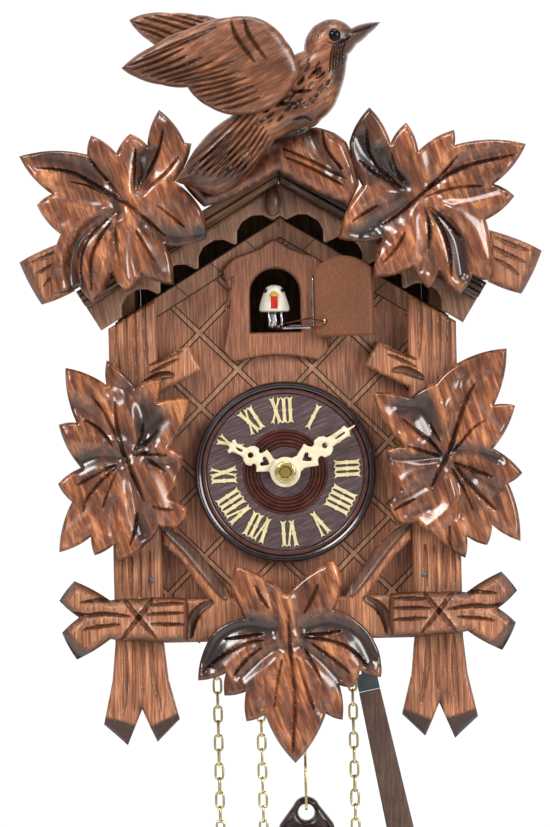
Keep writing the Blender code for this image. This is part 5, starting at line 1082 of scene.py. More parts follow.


# painted shadow: the valley of no depth only darkens a band under the roof moulding; the slightly negative
# edge amount paints light on the scallop edges
fasciaLook = dict(thick=2.9, edge=(0.5, 0.7), bow=0.0, step=0.9, stainAndShade=0.05, edgeStainAndShade=-0.05,
                  valleys=((((-70, 66), (0, 106.5), (70, 66)), 4.5, 0.0, 0.45),))
carveBoard("gableFascia", smoothCurves(boardOutline("gable_fascia", "back")), fasciaBox[1][1], fasciaLook,
           "fasciaWood", "case",
           "gable_fascia")
peg = dict(x=-2.3, top=100.6)
pegProfile = [(0.15, 0.0), (1.5, -1.2), (2.5, -3.2), (2.9, -5.6), (2.75, -7.8), (2.2, -9.6), (1.5, -10.5),
              (0.1, -10.8)]
points, faces = latheShape(pegProfile, (peg["x"], fasciaBox[1][1] - 3.0, peg["top"]), "Z", 28)
# the peg takes the lighter, painted-light copy of the moulding wood
facingOut(makePiece("gablePeg", points, faces, "brownMoulding", "case", "gable_fascia"))
dress(("roof_left_board", "roof_right_board"), "roofBoard")

# panel, its lattice and the board round the doorway

dress(("front_panel",), "panelWood")
panel = boxOf("front_panel")
panelFace = panel[0][1]
lattice = dict(crossing=(10.3, 36.4), pitch=13.15, strip=1.45, line=2.35, proud=0.26, under=0.12,
               border=6.2)
panelHalf, panelLow, panelApex = panel[1][0], panel[0][2], panel[1][2]
gable = [(-panelHalf, panelLow), (panelHalf, panelLow),
         (panelHalf, panelApex - panelHalf * math.tan(roof["slope"])),
         (0.0, panelApex), (-panelHalf, panelApex - panelHalf * math.tan(roof["slope"]))]
doorwayBox = dict(x=-2.3, half=8.9, low=49.2, high=71.7)


def clipToPanel(a, b, loop):
    # the stretch of a straight line inside a convex outline
    low, high = 0.0, 1.0
    dx, dz = b[0] - a[0], b[1] - a[1]
    for (px, pz), (qx, qz) in zip(loop, loop[1:] + loop[:1]):
        nx, nz = -(qz - pz), qx - px
        start = (a[0] - px) * nx + (a[1] - pz) * nz
        rate = dx * nx + dz * nz
        if abs(rate) < 1e-9:
            if start < 0:
                return None
        elif rate > 0:
            low = max(low, -start / rate)
        else:
            high = min(high, -start / rate)
    if low >= high:
        return None
    return (a[0] + dx * low, a[1] + dz * low), (a[0] + dx * high, a[1] + dz * high)


def flatStrip(a, b, width, face, proud):
    # a thin strip glued on the panel, its top edges broken
    length = math.dist(a, b)
    dx, dz = (b[0] - a[0]) / length, (b[1] - a[1]) / length
    nx, nz = -dz * width / 2, dx * width / 2
    slim = 0.94
    base = [(a[0] + nx, a[1] + nz), (b[0] + nx, b[1] + nz), (b[0] - nx, b[1] - nz), (a[0] - nx, a[1] - nz)]
    top = [(a[0] + nx * slim, a[1] + nz * slim), (b[0] + nx * slim, b[1] + nz * slim),
           (b[0] - nx * slim, b[1] - nz * slim), (a[0] - nx * slim, a[1] - nz * slim)]
    points = [(x, face + 0.1, z) for x, z in base] + [(x, face - proud, z) for x, z in top]
    faces = [(3, 2, 1, 0), (4, 5, 6, 7)] + [(i, (i + 1) % 4, 4 + (i + 1) % 4, 4 + i) for i in range(4)]
    return points, faces


borderDrop = lattice["border"] / math.cos(roof["slope"])
inner = [(x * 0.998, z) for x, z in gable]
inner[2] = (inner[2][0], inner[2][1] - borderDrop)
inner[3] = (0.0, panelApex - borderDrop)
inner[4] = (inner[4][0], inner[4][1] - borderDrop)
strips, lines = [], []


def besideDoorway(a, b, margin=1.2):
    # the parts of a strip that lie outside the doorway
    x, half = doorwayBox["x"], doorwayBox["half"] + margin
    box = [(x - half, doorwayBox["low"] - margin), (x + half, doorwayBox["low"] - margin),
           (x + half, doorwayBox["high"] + margin), (x - half, doorwayBox["high"] + margin)]
    within = clipToPanel(a, b, box)
    if not within or math.dist(*within) < 0.01:
        return [(a, b)]
    parts = []
    for outer, cut in ((a, within[0]), (b, within[1])):
        if math.dist(outer, cut) > 1.0:
            parts.append((outer, cut))
    return parts


for lean in (1, -1):
    for i in range(-12, 13):
        if i % 2:
            continue
        midX, midZ = lattice["crossing"][0] + i * lattice["pitch"], lattice["crossing"][1]
        ends = clipToPanel((midX - 200, midZ - 200 * lean), (midX + 200, midZ + 200 * lean), inner)
        if not ends or math.dist(*ends) < 4:
            continue
        for part in besideDoorway(*ends):
            strips.append(flatStrip(*part, lattice["strip"], panelFace,
                                    lattice["proud"] - 0.02 * (lean > 0)))
            lines.append(flatStrip(*part, lattice["line"], panelFace, lattice["under"]))
borders = []
borderMiddle = lattice["border"] / 2 / math.cos(roof["slope"])
for sign in (-1, 1):
    outer = (sign * panelHalf * 0.985,
             panelApex - panelHalf * 0.985 * math.tan(roof["slope"]) - borderMiddle)
    top = (0.0, panelApex - borderMiddle)
    borders.append(flatStrip(outer, top, lattice["border"] - 0.5, panelFace,
                             lattice["proud"] - 0.01 * sign))
    lines.append(flatStrip(outer, top, lattice["border"] + 0.3, panelFace, lattice["under"]))
    for x in (8.0, 20.5, 33.0, 46.0):  # cuts across the border
        foot = (sign * x, panelApex - x * math.tan(roof["slope"]) - borderDrop * 0.93)
        head = (sign * (x + 4.2), panelApex - (x + 4.2) * math.tan(roof["slope"]) - 0.4)
        lines.append(flatStrip(foot, head, 0.35, panelFace, lattice["proud"] + 0.015))
makePiece("panelLattice", *gather(strips), "stripWood", "case", crease=20)
makePiece("panelBorder", *gather(borders), "fasciaPlain", "case", crease=20)
makePiece("panelLines", *gather(lines), "darkGap", "case", crease=20)


def doorwayLoop(x, half, low, high):
    spring = high - half
    arch = [(x + half * math.cos(a), spring + half * math.sin(a)) for a in np.linspace(0, math.pi, 25)]
    return [(x - half, low), (x + half, low), *arch]


surroundBox = boxOf("door_surround")
# painted shadow: the high edge amount darkens the outline of the board round the doorway
surroundLook = dict(thick=surroundBox[1][1] - surroundBox[0][1], edge=(0.7, 0.9), edgeStainAndShade=0.9, bow=0.0,
                    step=0.6)
surroundRight = ((0.0, 41.2), (5.0, 40.8), (10.0, 39.9), (14.8, 38.9), (16.6, 40.4), (18.6, 42.9),
                 (18.4, 44.6), (17.8, 47.4),
                 (16.4, 53.5), (15.9, 60.0), (16.5, 65.5), (17.9, 69.0), (18.2, 71.6), (16.6, 73.6),
                 (14.6, 75.5), (10.4, 76.9),
                 (5.0, 78.9), (1.5, 81.4), (0.0, 81.9))
surroundOutline = [(x + doorwayBox["x"], z) for x, z in surroundRight]
surroundOutline += [(doorwayBox["x"] - x, z) for x, z in reversed(surroundRight[1:-1])]
carveBoard("doorSurround", surroundOutline, surroundBox[1][1], surroundLook, "surroundWood", "case",
           "door_surround",
           holes=(doorwayLoop(**doorwayBox),))
print("roof and panel done")

# dial, numerals and hands

dialBack = boxOf("dial")[1][1]
dial = dict(face=4.4, bore=3.4, radius=32.0, turn=-2.0, numeralMiddle=21.7, numeralHalf=4.5,
            numeralProud=0.5)
dialProfile = [(dial["bore"], 0.0, "dialWood"), (dial["bore"], dial["face"], "dialWood"),
               (8.9, dial["face"], "dialWood")]
for ring, width, rise in ((9.5, 0.5, 0.5), (10.7, 0.45, 0.35), (12.0, 0.5, 0.5), (13.3, 0.45, 0.4),
                          (14.4, 0.5, 0.5)):
    dialProfile += [(ring - width, dial["face"] - 0.15, "dialRing"),
                    (ring - width * 0.35, dial["face"] + rise, "dialRing"),
                    (ring + width * 0.35, dial["face"] + rise, "dialRing")]
dialProfile += [(15.0, dial["face"], "dialRing"), (27.4, dial["face"], "dialWood"),
                (27.6, dial["face"] - 0.3, "dialRim"),
                (27.9, dial["face"], "dialRim"), (28.2, dial["face"] + 0.15, "dialRing"),
                (29.1, dial["face"] + 0.2, "dialRing"),
                (29.3, dial["face"] - 0.2, "dialRim"), (29.7, dial["face"] + 0.9, "dialRim"),
                (30.3, dial["face"] + 1.2, "dialRim"),
                (30.7, dial["face"] + 0.8, "dialRim"), (31.0, dial["face"] + 0.9, "dialRim"),
                (31.5, dial["face"] + 0.4, "dialRim"),
                (31.9, dial["face"] - 0.8, "dialRim"), (dial["radius"], dial["face"] - 2.0, "dialRim"),
                (dial["radius"], 0.0, "dialRim"),
                (dial["bore"], 0.0, "dialRim")]
points, faces = latheShape([(r, h) for r, h, _ in dialProfile], (0.0, dialBack, 0.0), "Y", 128)
dialFinishes = ["dialWood", "dialRing", "dialRim"]
indexes = [dialFinishes.index(finish) for _, _, finish in dialProfile[1:] for _ in range(128)]
facingOut(makePiece("dialFace", points, faces, dialFinishes, "case", "dial", crease=30,
                    faceFinishes=indexes))


def plateShape(outline, back, front, holes=(), slant=0.0):
    # a thin flat piece between two faces, its front a little smaller by the slant
    loops = [list(outline), *[list(h) for h in holes]]
    points, faces, starts = [], [], []
    for number, loop in enumerate(loops):
        starts.append(len(points))
        cx, cz = np.mean(loop, axis=0)
        points += [(x, back, z) for x, z in loop]
        share = 1.0 - slant if number == 0 else 1.0 + slant
        points += [(cx + (x - cx) * share, front, cz + (z - cz) * share) for x, z in loop]
        count = len(loop)
        for i in range(count):
            a, b = starts[-1] + i, starts[-1] + (i + 1) % count
            faces.append((a, b, b + count, a + count))
    flatIndex = [start + i for start, loop in zip(starts, loops) for i in range(len(loop))]
    frontIndex = [start + len(loop) + i for start, loop in zip(starts, loops) for i in range(len(loop))]
    for tri in geometry.tessellate_polygon([[Vector((x, z, 0)) for x, z in loop] for loop in loops]):
        faces.append(tuple(flatIndex[k] for k in tri))
        faces.append(tuple(frontIndex[k] for k in tri))
    return points, faces


def strokeOutline(ax, az, bx, bz, half, flare):
    # a stroke with spiked ends, from one end to the other
    length = math.hypot(bx - ax, bz - az)
    dx, dz = (bx - ax) / length, (bz - az) / length
    shape = ((-flare, -0.25), (0.0, 0.35), (flare, -0.25), (half, 0.95), (half * 0.9, length * 0.42),
             (half * 1.35, length * 0.5),
             (half * 0.9, length * 0.58), (half, length - 0.95), (flare, length + 0.25),
             (0.0, length - 0.35), (-flare, length + 0.25),
             (-half, length - 0.95), (-half * 0.9, length * 0.58), (-half * 1.35, length * 0.5),
             (-half * 0.9, length * 0.42),
             (-half, 0.95))
    return [(ax + dz * u + dx * v, az - dx * u + dz * v) for u, v in shape]


numeralNames = ("XII", "I", "II", "III", "IIII", "V", "VI", "VII", "VIII", "IX", "X", "XI")
advance = {"I": 2.15, "V": 3.7, "X": 3.7}
high = dial["numeralHalf"]
strokes = {
    "I": ((0.0, -high, 0.0, high, 0.62, 1.15),),
    "V": ((-1.35, high, 0.0, -high, 0.62, 1.0), (1.35, high, 0.0, -high, 0.36, 0.8)),
    "X": ((-1.35, high, 1.35, -high, 0.62, 1.0), (1.35, high, -1.35, -high, 0.36, 0.8)),
}
numerals = []
for hour, letters in enumerate(numeralNames):
    angle = math.radians(30 * hour + dial["turn"])
    outX, outZ, rightX, rightZ = math.sin(angle), math.cos(angle), math.cos(angle), -math.sin(angle)
    width = sum(advance[c] for c in letters)
    along = -width / 2
    for number, letter in enumerate(letters):
        middle = along + advance[letter] / 2
        for k, (ax, az, bx, bz, half, flare) in enumerate(strokes[letter]):
            outline = strokeOutline(ax + middle, az, bx + middle, bz, half, flare)
            placed = [(rightX * u + outX * (v + dial["numeralMiddle"]),
                       rightZ * u + outZ * (v + dial["numeralMiddle"]))
                      for u, v in outline]
            face = dialBack - dial["face"]
            numerals.append(plateShape(placed, face + 0.1,
                                       face - dial["numeralProud"] - 0.01 * (k + number % 2), slant=0.02))
        along += advance[letter]
facingOut(makePiece("dialNumerals", *gather(numerals), "ivoryPlastic", "case", crease=25))


def turnedLoop(points, degrees):
    # clockwise as one looks at the dial
    a = math.radians(degrees)
    return [(x * math.cos(a) + z * math.sin(a), -x * math.sin(a) + z * math.cos(a)) for x, z in points]


def roundLoop(x, z, radius, count=24):
    return [(x + radius * math.cos(2 * math.pi * i / count), z + radius * math.sin(2 * math.pi * i / count))
            for i in range(count)]


heartLoop = [(0.0, -1.7), (1.1, -0.5), (1.75, 0.6), (1.5, 1.3), (0.8, 1.4), (0.0, 0.7), (-0.8, 1.4),
             (-1.5, 1.3),
             (-1.75, 0.6), (-1.1, -0.5)]
hands = {
    "minute": dict(
        angle=57.3, boss=5.3, bore=2.0, node="minute_hand", body="minute_work", heart=8.9, eye=16.6,
        slit=(21.0, 25.0),
        half=((2.9, 4.44), (2.5, 6.4), (3.5, 8.6), (4.6, 10.9), (3.0, 11.7), (2.2, 12.6), (2.3, 13.6),
              (3.5, 14.4), (3.8, 16.4),
              (3.0, 18.0), (1.9, 18.8), (1.7, 20.4), (1.7, 24.6), (2.1, 25.8), (1.3, 26.4), (0.5, 26.6),
              (0.15, 29.3))),
    "hour": dict(
        angle=-63.0, boss=5.0, bore=3.1, node="hour_hand", body="hour_work", heart=7.9, eye=13.6,
        slit=(16.8, 19.4),
        half=((2.8, 4.14), (2.4, 5.6), (3.3, 7.2), (4.3, 9.2), (2.9, 9.9), (2.1, 10.6), (2.2, 11.4),
              (3.4, 12.0), (3.6, 13.6),
              (2.8, 15.0), (1.8, 15.8), (1.6, 16.8), (1.6, 19.6), (2.7, 20.8), (2.0, 21.6), (0.9, 21.2),
              (0.3, 22.2))),
}
for word, look in hands.items():
    arc = [(look["boss"] * math.cos(a), look["boss"] * math.sin(a)) for a in np.radians(np.linspace(123,
        417, 36))]
    outline = [*look["half"], *[(-x, z) for x, z in reversed(look["half"])], *arc]
    low, top = look["slit"]
    holes = [roundLoop(0, 0, look["bore"]), [(x, z + look["heart"]) for x, z in heartLoop],
             roundLoop(0, look["eye"], 1.0, 16),
             [(-0.4, low), (0.4, low), (0.5, (low + top) / 2), (0.35, top), (-0.35, top),
              (-0.5, (low + top) / 2)]]
    handBox = boxOf(look["node"])
    outline = turnedLoop(outline, look["angle"])
    holes = [turnedLoop(h, look["angle"]) for h in holes]
    handLook = dict(thick=handBox[1][1] - handBox[0][1], edge=(0.35, 0.4), bow=0.0, step=0.42, least=0.5)
    carveBoard(f"{word}Hand", outline, handBox[1][1], handLook, "handPlastic", look["body"], look["node"],
               holes=holes)
nutBox = boxOf("hand_nut")
nut = dict(radius=3.7, bore=2.1, height=nutBox[1][1] - nutBox[0][1])
nutProfile = [(nut["bore"], 0.0), (nut["bore"], 1.1), (2.35, nut["height"]), (2.75, nut["height"]),
              (2.9, 1.15), (3.1, 1.15),
              (3.25, nut["height"] * 0.95), (3.55, nut["height"] * 0.85), (nut["radius"], 1.0),
              (nut["radius"], 0.0), (nut["bore"], 0.0)]
points, faces = latheShape(nutProfile, (0.0, nutBox[1][1], 0.0), "Y", 64)
facingOut(makePiece("handNut", points, faces, "brass", "minute_work", "hand_nut", crease=50))
print("dial and hands done")

# doorway: door, its wires, and the cuckoo

doorway = dict(
    hinge=(11.1, -99.2), along=(0.906, -0.423), thick=2.5, near=0.8, far=22.8, low=47.2, shoulder=70.7,
    top=75.3,
    stapleReach=5.3, stapleHeights=(51.9, 53.4), stapleWire=0.32)
hx, hy = doorway["hinge"]
dx, dy = doorway["along"]


def byTheDoor(u, v, z):
    # u runs along the open door from its hinge, v stands out of its inner face
    return (hx + u * dx + v * dy, hy + u * dy - v * dx, z)


half = (doorway["far"] - doorway["near"]) / 2
rise = doorway["top"] - doorway["shoulder"]
bend = (half ** 2 + rise ** 2) / (2 * rise)
sweep = math.asin(half / bend)
doorTop = [((doorway["near"] + doorway["far"]) / 2 + bend * math.cos(a),
            doorway["top"] - bend + bend * math.sin(a))
           for a in np.linspace(math.pi / 2 - sweep, math.pi / 2 + sweep, 21)]
doorOutline = [(doorway["near"], doorway["low"]), (doorway["far"], doorway["low"]), *doorTop]
doorLook = dict(thick=doorway["thick"], edge=(0.5, 0.6), bow=0.0, step=0.8)
door = carveBoard("cuckooDoor", doorOutline, doorway["thick"] / 2, doorLook, "doorWood", "cuckoo_door",
                  "cuckoo_door")
swing = Matrix(((dx, -dy, 0.0, hx * 0.001), (dy, dx, 0.0, hy * 0.001), (0.0, 0.0, 1.0, 0.0),
                (0.0, 0.0, 0.0, 1.0)))
door.data.transform(swing)
lowLeg, highLeg = doorway["stapleHeights"]
staple = smoothLine([byTheDoor(doorway["stapleReach"], v, z) for v, z in (
    (0.9, lowLeg), (2.1, lowLeg), (2.45, (lowLeg + highLeg) / 2), (2.1, highLeg), (0.9, highLeg))], 5)
facingOut(makePiece("doorStaple", *sweepTube(staple, doorway["stapleWire"], 12), "brass", "cuckoo_door"))

surroundFront = surroundBox[0][1]
hingeWire = dict(radius=0.45)
path = smoothLine([(hx, surroundFront + 1.4, 50.6), (hx, surroundFront - 0.9, 50.7), (hx, hy, 51.9),
                   (hx, hy, 55.0),
                   (hx, hy, 64.0), (hx, hy, 67.2), (hx, surroundFront - 0.9, 68.4),
                   (hx, surroundFront + 1.4, 68.5)], 6)
facingOut(makePiece("doorHingeWire", *sweepTube(path, hingeWire["radius"], 12), "steel", "case",
                    "door_hinge_wire"))
eyes = []
for z in (52.9, 66.4):  # wire eyes of the door, round the hinge wire
    ring = [(hx + 0.85 * math.cos(a), hy + 0.85 * math.sin(a), z) for a in np.linspace(0, 2 * math.pi,
        21)[:-1]]
    eyes.append(sweepTube(ring, 0.26, 8, closed=True))
    eyes.append(sweepTube([byTheDoor(0.95, 0.0, z), byTheDoor(2.2, 0.0, z)], 0.26, 8))
facingOut(makePiece("doorHingeEyes", *gather(eyes), "steel", "cuckoo_door"))
latchY = boxOf("door_latch")[0][1] + 0.4
latch = smoothLine([(-17.0, surroundFront + 1.2, 68.6), (-17.0, latchY + 1.4, 68.6), (-17.05, latchY, 68.2),
                    (-17.6, latchY, 65.4),
                    (-18.7, latchY, 61.0), (-19.6, latchY, 58.4), (-19.2, latchY, 57.1),
                    (-18.2, latchY, 57.0)], 6)
facingOut(makePiece("doorLatch", *sweepTube(latch, 0.38, 12), "copperWire", "latch", "door_latch"))

bird = dict(x=-2.6, y=-92.6, deep=1.22)
birdProfile = [(0.3, 56.5), (3.6, 56.35), (4.9, 56.55), (5.3, 57.2), (5.2, 58.4), (4.7, 60.2), (4.05, 62.2),
               (3.35, 64.0),
               (2.55, 65.2), (1.4, 65.75), (0.2, 65.9)]
smoothProfile = smoothLine(birdProfile, 4)
points, faces = latheShape(smoothProfile, (0.0, 0.0, 0.0), "Z", 48)
points = [(bird["x"] + x, bird["y"] + y * bird["deep"], z) for x, y, z in points]
facingOut(makePiece("cuckooBody", points, faces, "whitePlastic", "cuckoo", "cuckoo", crease=60))


def cuckooFront(z):
    reach = np.interp(z, [p[1] for p in birdProfile[2:]], [p[0] for p in birdProfile[2:]])
    return bird["y"] - float(reach) * bird["deep"]


beak = [(-2.75, 61.7), (2.75, 61.7), (2.5, 62.7), (1.3, 64.3), (0.0, 64.9), (-1.3, 64.3), (-2.5, 62.7)]
beakPoints = [(bird["x"] + x, cuckooFront(z) + 1.2 + 0.5 * abs(x), z) for x, z in beak]
beakPoints += [(bird["x"] + x * 0.62, cuckooFront(z) - 0.75 + 0.34 * abs(x),
                61.9 + (z - 61.7) * 0.62) for x, z in beak]
beakPoints.append((bird["x"], cuckooFront(62.4) - 2.2, 61.8))
beakFaces = [(i, (i + 1) % 7, 7 + (i + 1) % 7, 7 + i) for i in range(7)] + [(7 + i, 7 + (i + 1) % 7,
    14) for i in range(7)]
beakFaces.append(tuple(reversed(range(7))))
facingOut(makePiece("cuckooBeak", beakPoints, beakFaces, "yellowPaint", "cuckoo", crease=50))
mouthFront = cuckooFront(57.6) - 0.15
mouth = [(-1.3, 57.3), (1.3, 57.3), (1.35, 59.5), (1.3, 61.9), (-1.3, 61.9), (-1.35, 59.5)]
mouthShape = plateShape([(bird["x"] + x, z) for x, z in mouth], bird["y"] - 3.0, mouthFront, slant=0.06)
facingOut(makePiece("cuckooMouth", *mouthShape, "redPaint", "cuckoo", crease=50))
birdEyes = []
for side in (-1, 1):
    centre = (bird["x"] + side * 2.75, bird["y"] - 2.35, 63.7)
    dome = [(0.02, -0.8), (0.55, -0.62), (0.8, 0.0), (0.55, 0.62), (0.02, 0.8)]
    birdEyes.append(latheShape(smoothLine(dome, 3), centre, "Y", 20))
facingOut(makePiece("cuckooEyes", *gather(birdEyes), "blackGlass", "cuckoo", crease=70))
feet = []
for x in (-4.5, -2.4, -0.2):
    feet.append(sweepTube(smoothLine([(x, -95.6, 57.0), (x, -96.4, 55.0), (x + 0.15, -96.7, 53.0),
                                      (x + 0.1, -96.2, 51.6),
                                      (x + 0.1, -94.2, 51.2), (-3.3, -93.0, 51.2)], 4), 0.5, 10))
facingOut(makePiece("cuckooFeet", *gather(feet), "steel", "cuckoo", crease=60))
dress(("cuckoo_arm",), "steel")
reach, run = doorway["stapleReach"], 1.62
link = smoothLine([(-1.6, -93.4, 51.9), (4.0, -96.6, 52.7), (10.0, -101.0, 53.7), byTheDoor(3.4, 2.2, 53.5),
                   byTheDoor(reach, run, 52.95), byTheDoor(reach + 0.5, run, 52.6),
                   byTheDoor(reach, run, 52.3),
                   byTheDoor(3.0, 2.4, 51.1), (9.0, -100.4, 50.7), (3.6, -96.6, 50.9), (-1.6, -93.4, 51.1)],
                   5)
facingOut(makePiece("doorLink", *sweepTube(link, 0.3, 10), "copperWire", "cuckoo"))
print("doorway done")

# chains, hooks, rings and weights

chain = dict(y=-66.0, start=-22.0, pitch=5.04, long=6.56, wide=3.65, wire=0.46)
chainPaths = {
    "leftWeightChain": (-26.0, -146.0, "left_chain_weight_side", "left_weight", -160.6),
    "leftFreeChain": (-10.6, -136.0, "left_chain_free_side", "left_free_chain", None),
    "rightWeightChain": (4.8, -102.0, "right_chain_weight_side", "right_weight", -116.6),
    "rightFreeChain": (22.3, -136.0, "right_chain_free_side", "right_free_chain", None),
}


def chainLink(x, z, quarter):
    # an oval ring of wire standing upright, its ends a little pinched
    straight = (chain["long"] - chain["wide"]) / 2
    bow = chain["wide"] / 2 - chain["wire"]
    ring = []
    for a in np.linspace(0.0, 2 * math.pi, 25)[:-1]:
        across, up = bow * math.cos(a), bow * math.sin(a) + math.copysign(straight, math.sin(a)) * min(1,
            abs(math.sin(a)) * 3)
        ring.append((x + across * math.cos(quarter), chain["y"] + across * math.sin(quarter), z + up))
    return sweepTube(ring, chain["wire"], 10, closed=True)


for name, (x, end, node, body, top) in chainPaths.items():
    shapes = []
    length = chain["start"] - end
    count = round((length - chain["long"]) / chain["pitch"]) + 1
    pitch = (length - chain["long"]) / (count - 1)
    for i in range(count):
        quarter = math.radians(2 + 88 * (i % 2) + draw.uniform(-6, 6))
        shapes.append(chainLink(x, chain["start"] - chain["long"] / 2 - i * pitch, quarter))
    facingOut(makePiece(name, *gather(shapes), "brass", body, node, crease=60))
    if top is None:
        ring = [(x, chain["y"] + 7.0 * math.sin(a), end - 6.1 + 7.0 * math.cos(a)) for a in np.linspace(0,
            2 * math.pi, 49)[:-1]]
        facingOut(makePiece(f"{name}Ring", *sweepTube(ring, 0.9, 14, closed=True), "brass", body,
                            crease=60))
    else:
        low = top - 4.4
        hook = smoothLine([(x, -66.6, end + 1.6), (x, -65.2, end + 2.0), (x, -66.0, end - 0.4),
                           (x, -69.0, end - 6.0),
                           (x, -69.2, low + 1.5), (x, -67.9, low + 0.3), (x, -66.0, low),
                           (x, -64.1, low + 0.3),
                           (x, -62.8, low + 2.0)], 5)
        facingOut(makePiece(f"{name}Hook", *sweepTube(hook, 0.5, 12), "brass", body, crease=60))

cone = dict(radius=14.5, neck=9.6, low=98.0, around=9, rows=12, proud=2.4, columns=144, slices=220)
coneShares = ((0.0, 0.30), (0.08, 0.74), (0.22, 0.96), (0.38, 1.0), (0.56, 0.95), (0.73, 0.80),
              (0.88, 0.55), (0.97, 0.25),
              (1.0, 0.04))


def coneSkin(angle, place):
    # overlapping scales: each one is a shield that lifts towards its lower tip
    best = 0.0
    row = place * cone["rows"]
    for i in range(int(row) - 1, int(row) + 2):
        v = (row - i) / 1.55
        if not 0.0 <= v <= 1.0:
            continue
        turn = angle / (2 * math.pi) * cone["around"] + (i % 2) / 2
        u = abs(turn - round(turn)) * 2
        edge = 1.0 - u ** 2 - max(0.0, v - 0.55) ** 2 * 4.2
        if edge > 0:
            best = max(best, v * min(1.0, edge * 3.5) * (1.0 - 0.35 * u) + 0.10 * min(1.0, edge * 2))
    return best


for side, (x, _, _, _, top) in (("left", chainPaths["leftWeightChain"]),
                                ("right", chainPaths["rightWeightChain"])):
    neck, low = top - cone["neck"], top - cone["low"]
    points, faces = [], []
    for s in range(cone["slices"] + 1):
        place = s / cone["slices"]
        share = float(np.interp(place, [p for p, _ in coneShares], [r for _, r in coneShares]))
        base = share * (cone["radius"] - cone["proud"] * 0.8)
        for k in range(cone["columns"]):
            angle = 2 * math.pi * k / cone["columns"]
            out = base + cone["proud"] * coneSkin(angle, place) * min(1.0, share * 1.6)
            points.append((x + out * math.cos(angle), chain["y"] + out * math.sin(angle),
                           neck + (low - neck) * place))
    columns = cone["columns"]
    for s in range(cone["slices"]):
        for k in range(columns):
            a, b = s * columns + k, s * columns + (k + 1) % columns
            faces.append((a, b, b + columns, a + columns))
    faces += [tuple(range(columns)),
              tuple(reversed(range(cone["slices"] * columns, (cone["slices"] + 1) * columns)))]
    facingOut(makePiece(f"{side}Weight", points, faces, "castIron", f"{side}_weight", f"{side}_weight",
                        crease=70))
    arch = [(x + 4.9 * math.cos(a), top - 4.9 + 4.9 * math.sin(a)) for a in np.radians(np.linspace(22, 158,
        19))]
    lug = [(x - 10.4, top - 12.5), (x + 10.4, top - 12.5), (x + 9.6, top - 9.8), *arch,
           (x - 9.6, top - 9.8)]
    lugLook = dict(thick=5.0, edge=(0.3, 0.5), rounded=(2.4, 2.6), bow=0.0, step=0.55, least=1.2,
                   gouges=tuple((((x + s * 5.5, top - 8.5), (x + s * 7.8, top - 12.5)), 1.4, 0.8,
                                 0.0) for s in (-1, 1)))
    carveBoard(f"{side}WeightLug", lug, chain["y"] + 2.5, lugLook, "castIron", f"{side}_weight",
               holes=(roundLoop(x, top - 5.6, 2.9),))
print("chains and weights done")

# pendulum

pendulum = dict(x=4.3, top=42.0, reach=205.0, swing=math.radians(11.3))


def onBob(u, v):
    # u across the leaf, v up from its middle, turned with the swung pendulum
    s = pendulum["reach"] - v
    a = pendulum["swing"]
    return (pendulum["x"] + s * math.sin(a) + u * math.cos(a),
            pendulum["top"] - s * math.cos(a) + u * math.sin(a))


bobBox = boxOf("pendulum_bob")
ribs = [(0.0, 24.0, 0.0, -27.0)]
for start, endU, endV in ((14, 10, 20), (9, 16, 10), (3, 19, 1), (-4, 17, -8), (-10, 12, -16)):
    ribs += [(0.0, start, endU, endV), (0.0, start, -endU, endV)]
bobLook = dict(
    thick=bobBox[1][1] - bobBox[0][1], edge=(1.8, 2.2), bow=0.05, step=0.6, least=1.2,
    cuts=tuple(((onBob(a, b), onBob((a + c) / 2, (b + d) / 2 + (1.0 if c else 0.0)), onBob(c, d)), 0.9,
                1.1) for a, b, c, d in ribs),
    valleys=tuple(((onBob(3 * s, v + 4), onBob(13 * s, v + 2)), 2.0, 0.9, 0.5) for s in (-1, 1) for v in (8,
        0, -9)))
carveBoard("pendulumBob", boardOutline("pendulum_bob"), bobBox[1][1], bobLook, "carvedLacquer", "bob",
           "pendulum_bob")
dress(("pendulum_leader",), "blueSteel")
dress(("pendulum_stick",), "stickWood")
dress(("anchor", "gong_hammer", "gong"), "steel")
dress(("movement_front_plate", "movement_back_plate", "centre_wheel", "hour_wheel", "time_great_wheel",
       "escape_wheel",
       "strike_great_wheel", "strike_fly", "cuckoo_bracket"), "plateBrass")
dress(("left_side_wall", "right_side_wall", "bottom_board", "left_bellows_pipe", "right_bellows_pipe",
       "left_bellows_lid", "right_bellows_lid"), "plainBoard")
dress(("hanger_board", "back_door"), "paleBoard")
print("inside and pendulum done")

# floor, light and camera

studio = dict(floorDrop=0.62, floorHalf=2.6, aim=(-3.2, 20.6), away=1.8, planeY=-105.0, viewHeight=289.5,
              roll=1.3)
floorMaterial, floorTree, floorShader, floorCoords = startFinish("paleFloor", dict())
haze = addNode(floorTree, "ShaderNodeTexNoise", Vector=floorCoords, Scale=1.5, Detail=3.0)
floorTree.links.new(addRamp(floorTree, haze.outputs["Fac"], ((0.3, (0.80, 0.80, 0.79)),
    (0.7, (0.86, 0.86, 0.85)))),
                    floorShader.inputs["Base Color"])
floorShader.inputs["Roughness"].default_value = 0.85
floorMesh = bpy.data.meshes.new("floor")
edge = studio["floorHalf"]
floorMesh.from_pydata([(-edge, -edge, -studio["floorDrop"]), (edge, -edge, -studio["floorDrop"]),
                       (edge, edge, -studio["floorDrop"]), (-edge, edge, -studio["floorDrop"])], [],
                       [(0, 1, 2, 3)])
floorMesh.materials.append(floorMaterial)
floor = bpy.data.objects.new("floor", floorMesh)
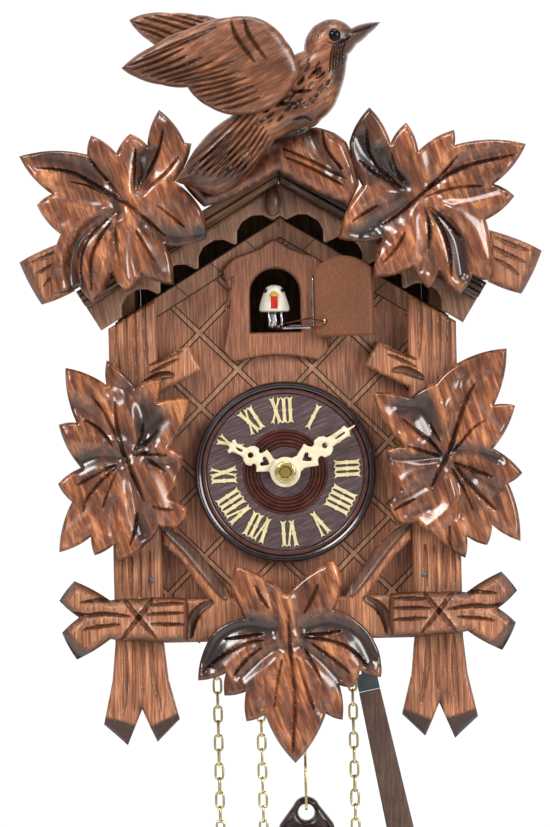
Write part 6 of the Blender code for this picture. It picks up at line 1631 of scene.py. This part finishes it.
bpy.context.scene.collection.objects.link(floor)

world = bpy.data.worlds.new("studio")
bpy.context.scene.world = world
world.use_nodes = True
sky = world.node_tree
facing = addNode(sky, "ShaderNodeSeparateXYZ",
                 Vector=addNode(sky, "ShaderNodeTexCoord").outputs["Generated"])
glow = addNode(sky, "ShaderNodeMapRange", Value=facing.outputs["Y"], n1=0.55, n2=0.93, n3=0.42, n4=1.05)
backdrop = sky.nodes["Background"]
sky.links.new(glow.outputs[0], backdrop.inputs["Strength"])
backdrop.inputs["Color"].default_value = (1.0, 1.0, 1.0, 1.0)

lights = {
    "keyLight": dict(place=(-0.75, -1.15, 0.85), size=(0.55, 0.55), power=14.0),
    "fillLight": dict(place=(1.0, -1.1, 0.35), size=(0.5, 0.8), power=13.0),
    "topLight": dict(place=(0.1, -0.35, 1.1), size=(0.6, 0.3), power=5.0),
}
for name, look in lights.items():
    lamp = bpy.data.lights.new(name, "AREA")
    lamp.shape = "RECTANGLE"
    lamp.size, lamp.size_y = look["size"]
    lamp.energy = look["power"]
    lamp.color = (1.0, 0.985, 0.96)
    holder = bpy.data.objects.new(name, lamp)
    holder.location = look["place"]
    holder.rotation_euler = (Vector((0.0, -0.09, -0.05)) - holder.location).to_track_quat("-Z",
        "Y").to_euler()
    bpy.context.scene.collection.objects.link(holder)

aimX, aimZ = studio["aim"]
lens = bpy.data.cameras.new("camera")
lens.sensor_fit = "AUTO"
lens.sensor_width = 36.0
lens.lens = 36.0 * studio["away"] * 1000.0 / studio["viewHeight"]
lens.clip_start, lens.clip_end = 0.05, 30.0
camera = bpy.data.objects.new("camera", lens)
camera.location = (aimX * 0.001, studio["planeY"] * 0.001 - studio["away"], (aimZ + dialHeight) * 0.001)
tilt = Matrix.Rotation(math.pi / 2, 3, "X") @ Matrix.Rotation(-math.radians(studio["roll"]), 3, "Z")
camera.rotation_euler = tilt.to_euler()
bpy.context.scene.collection.objects.link(camera)
bpy.context.scene.camera = camera
bpy.context.scene.view_settings.view_transform = "Standard"
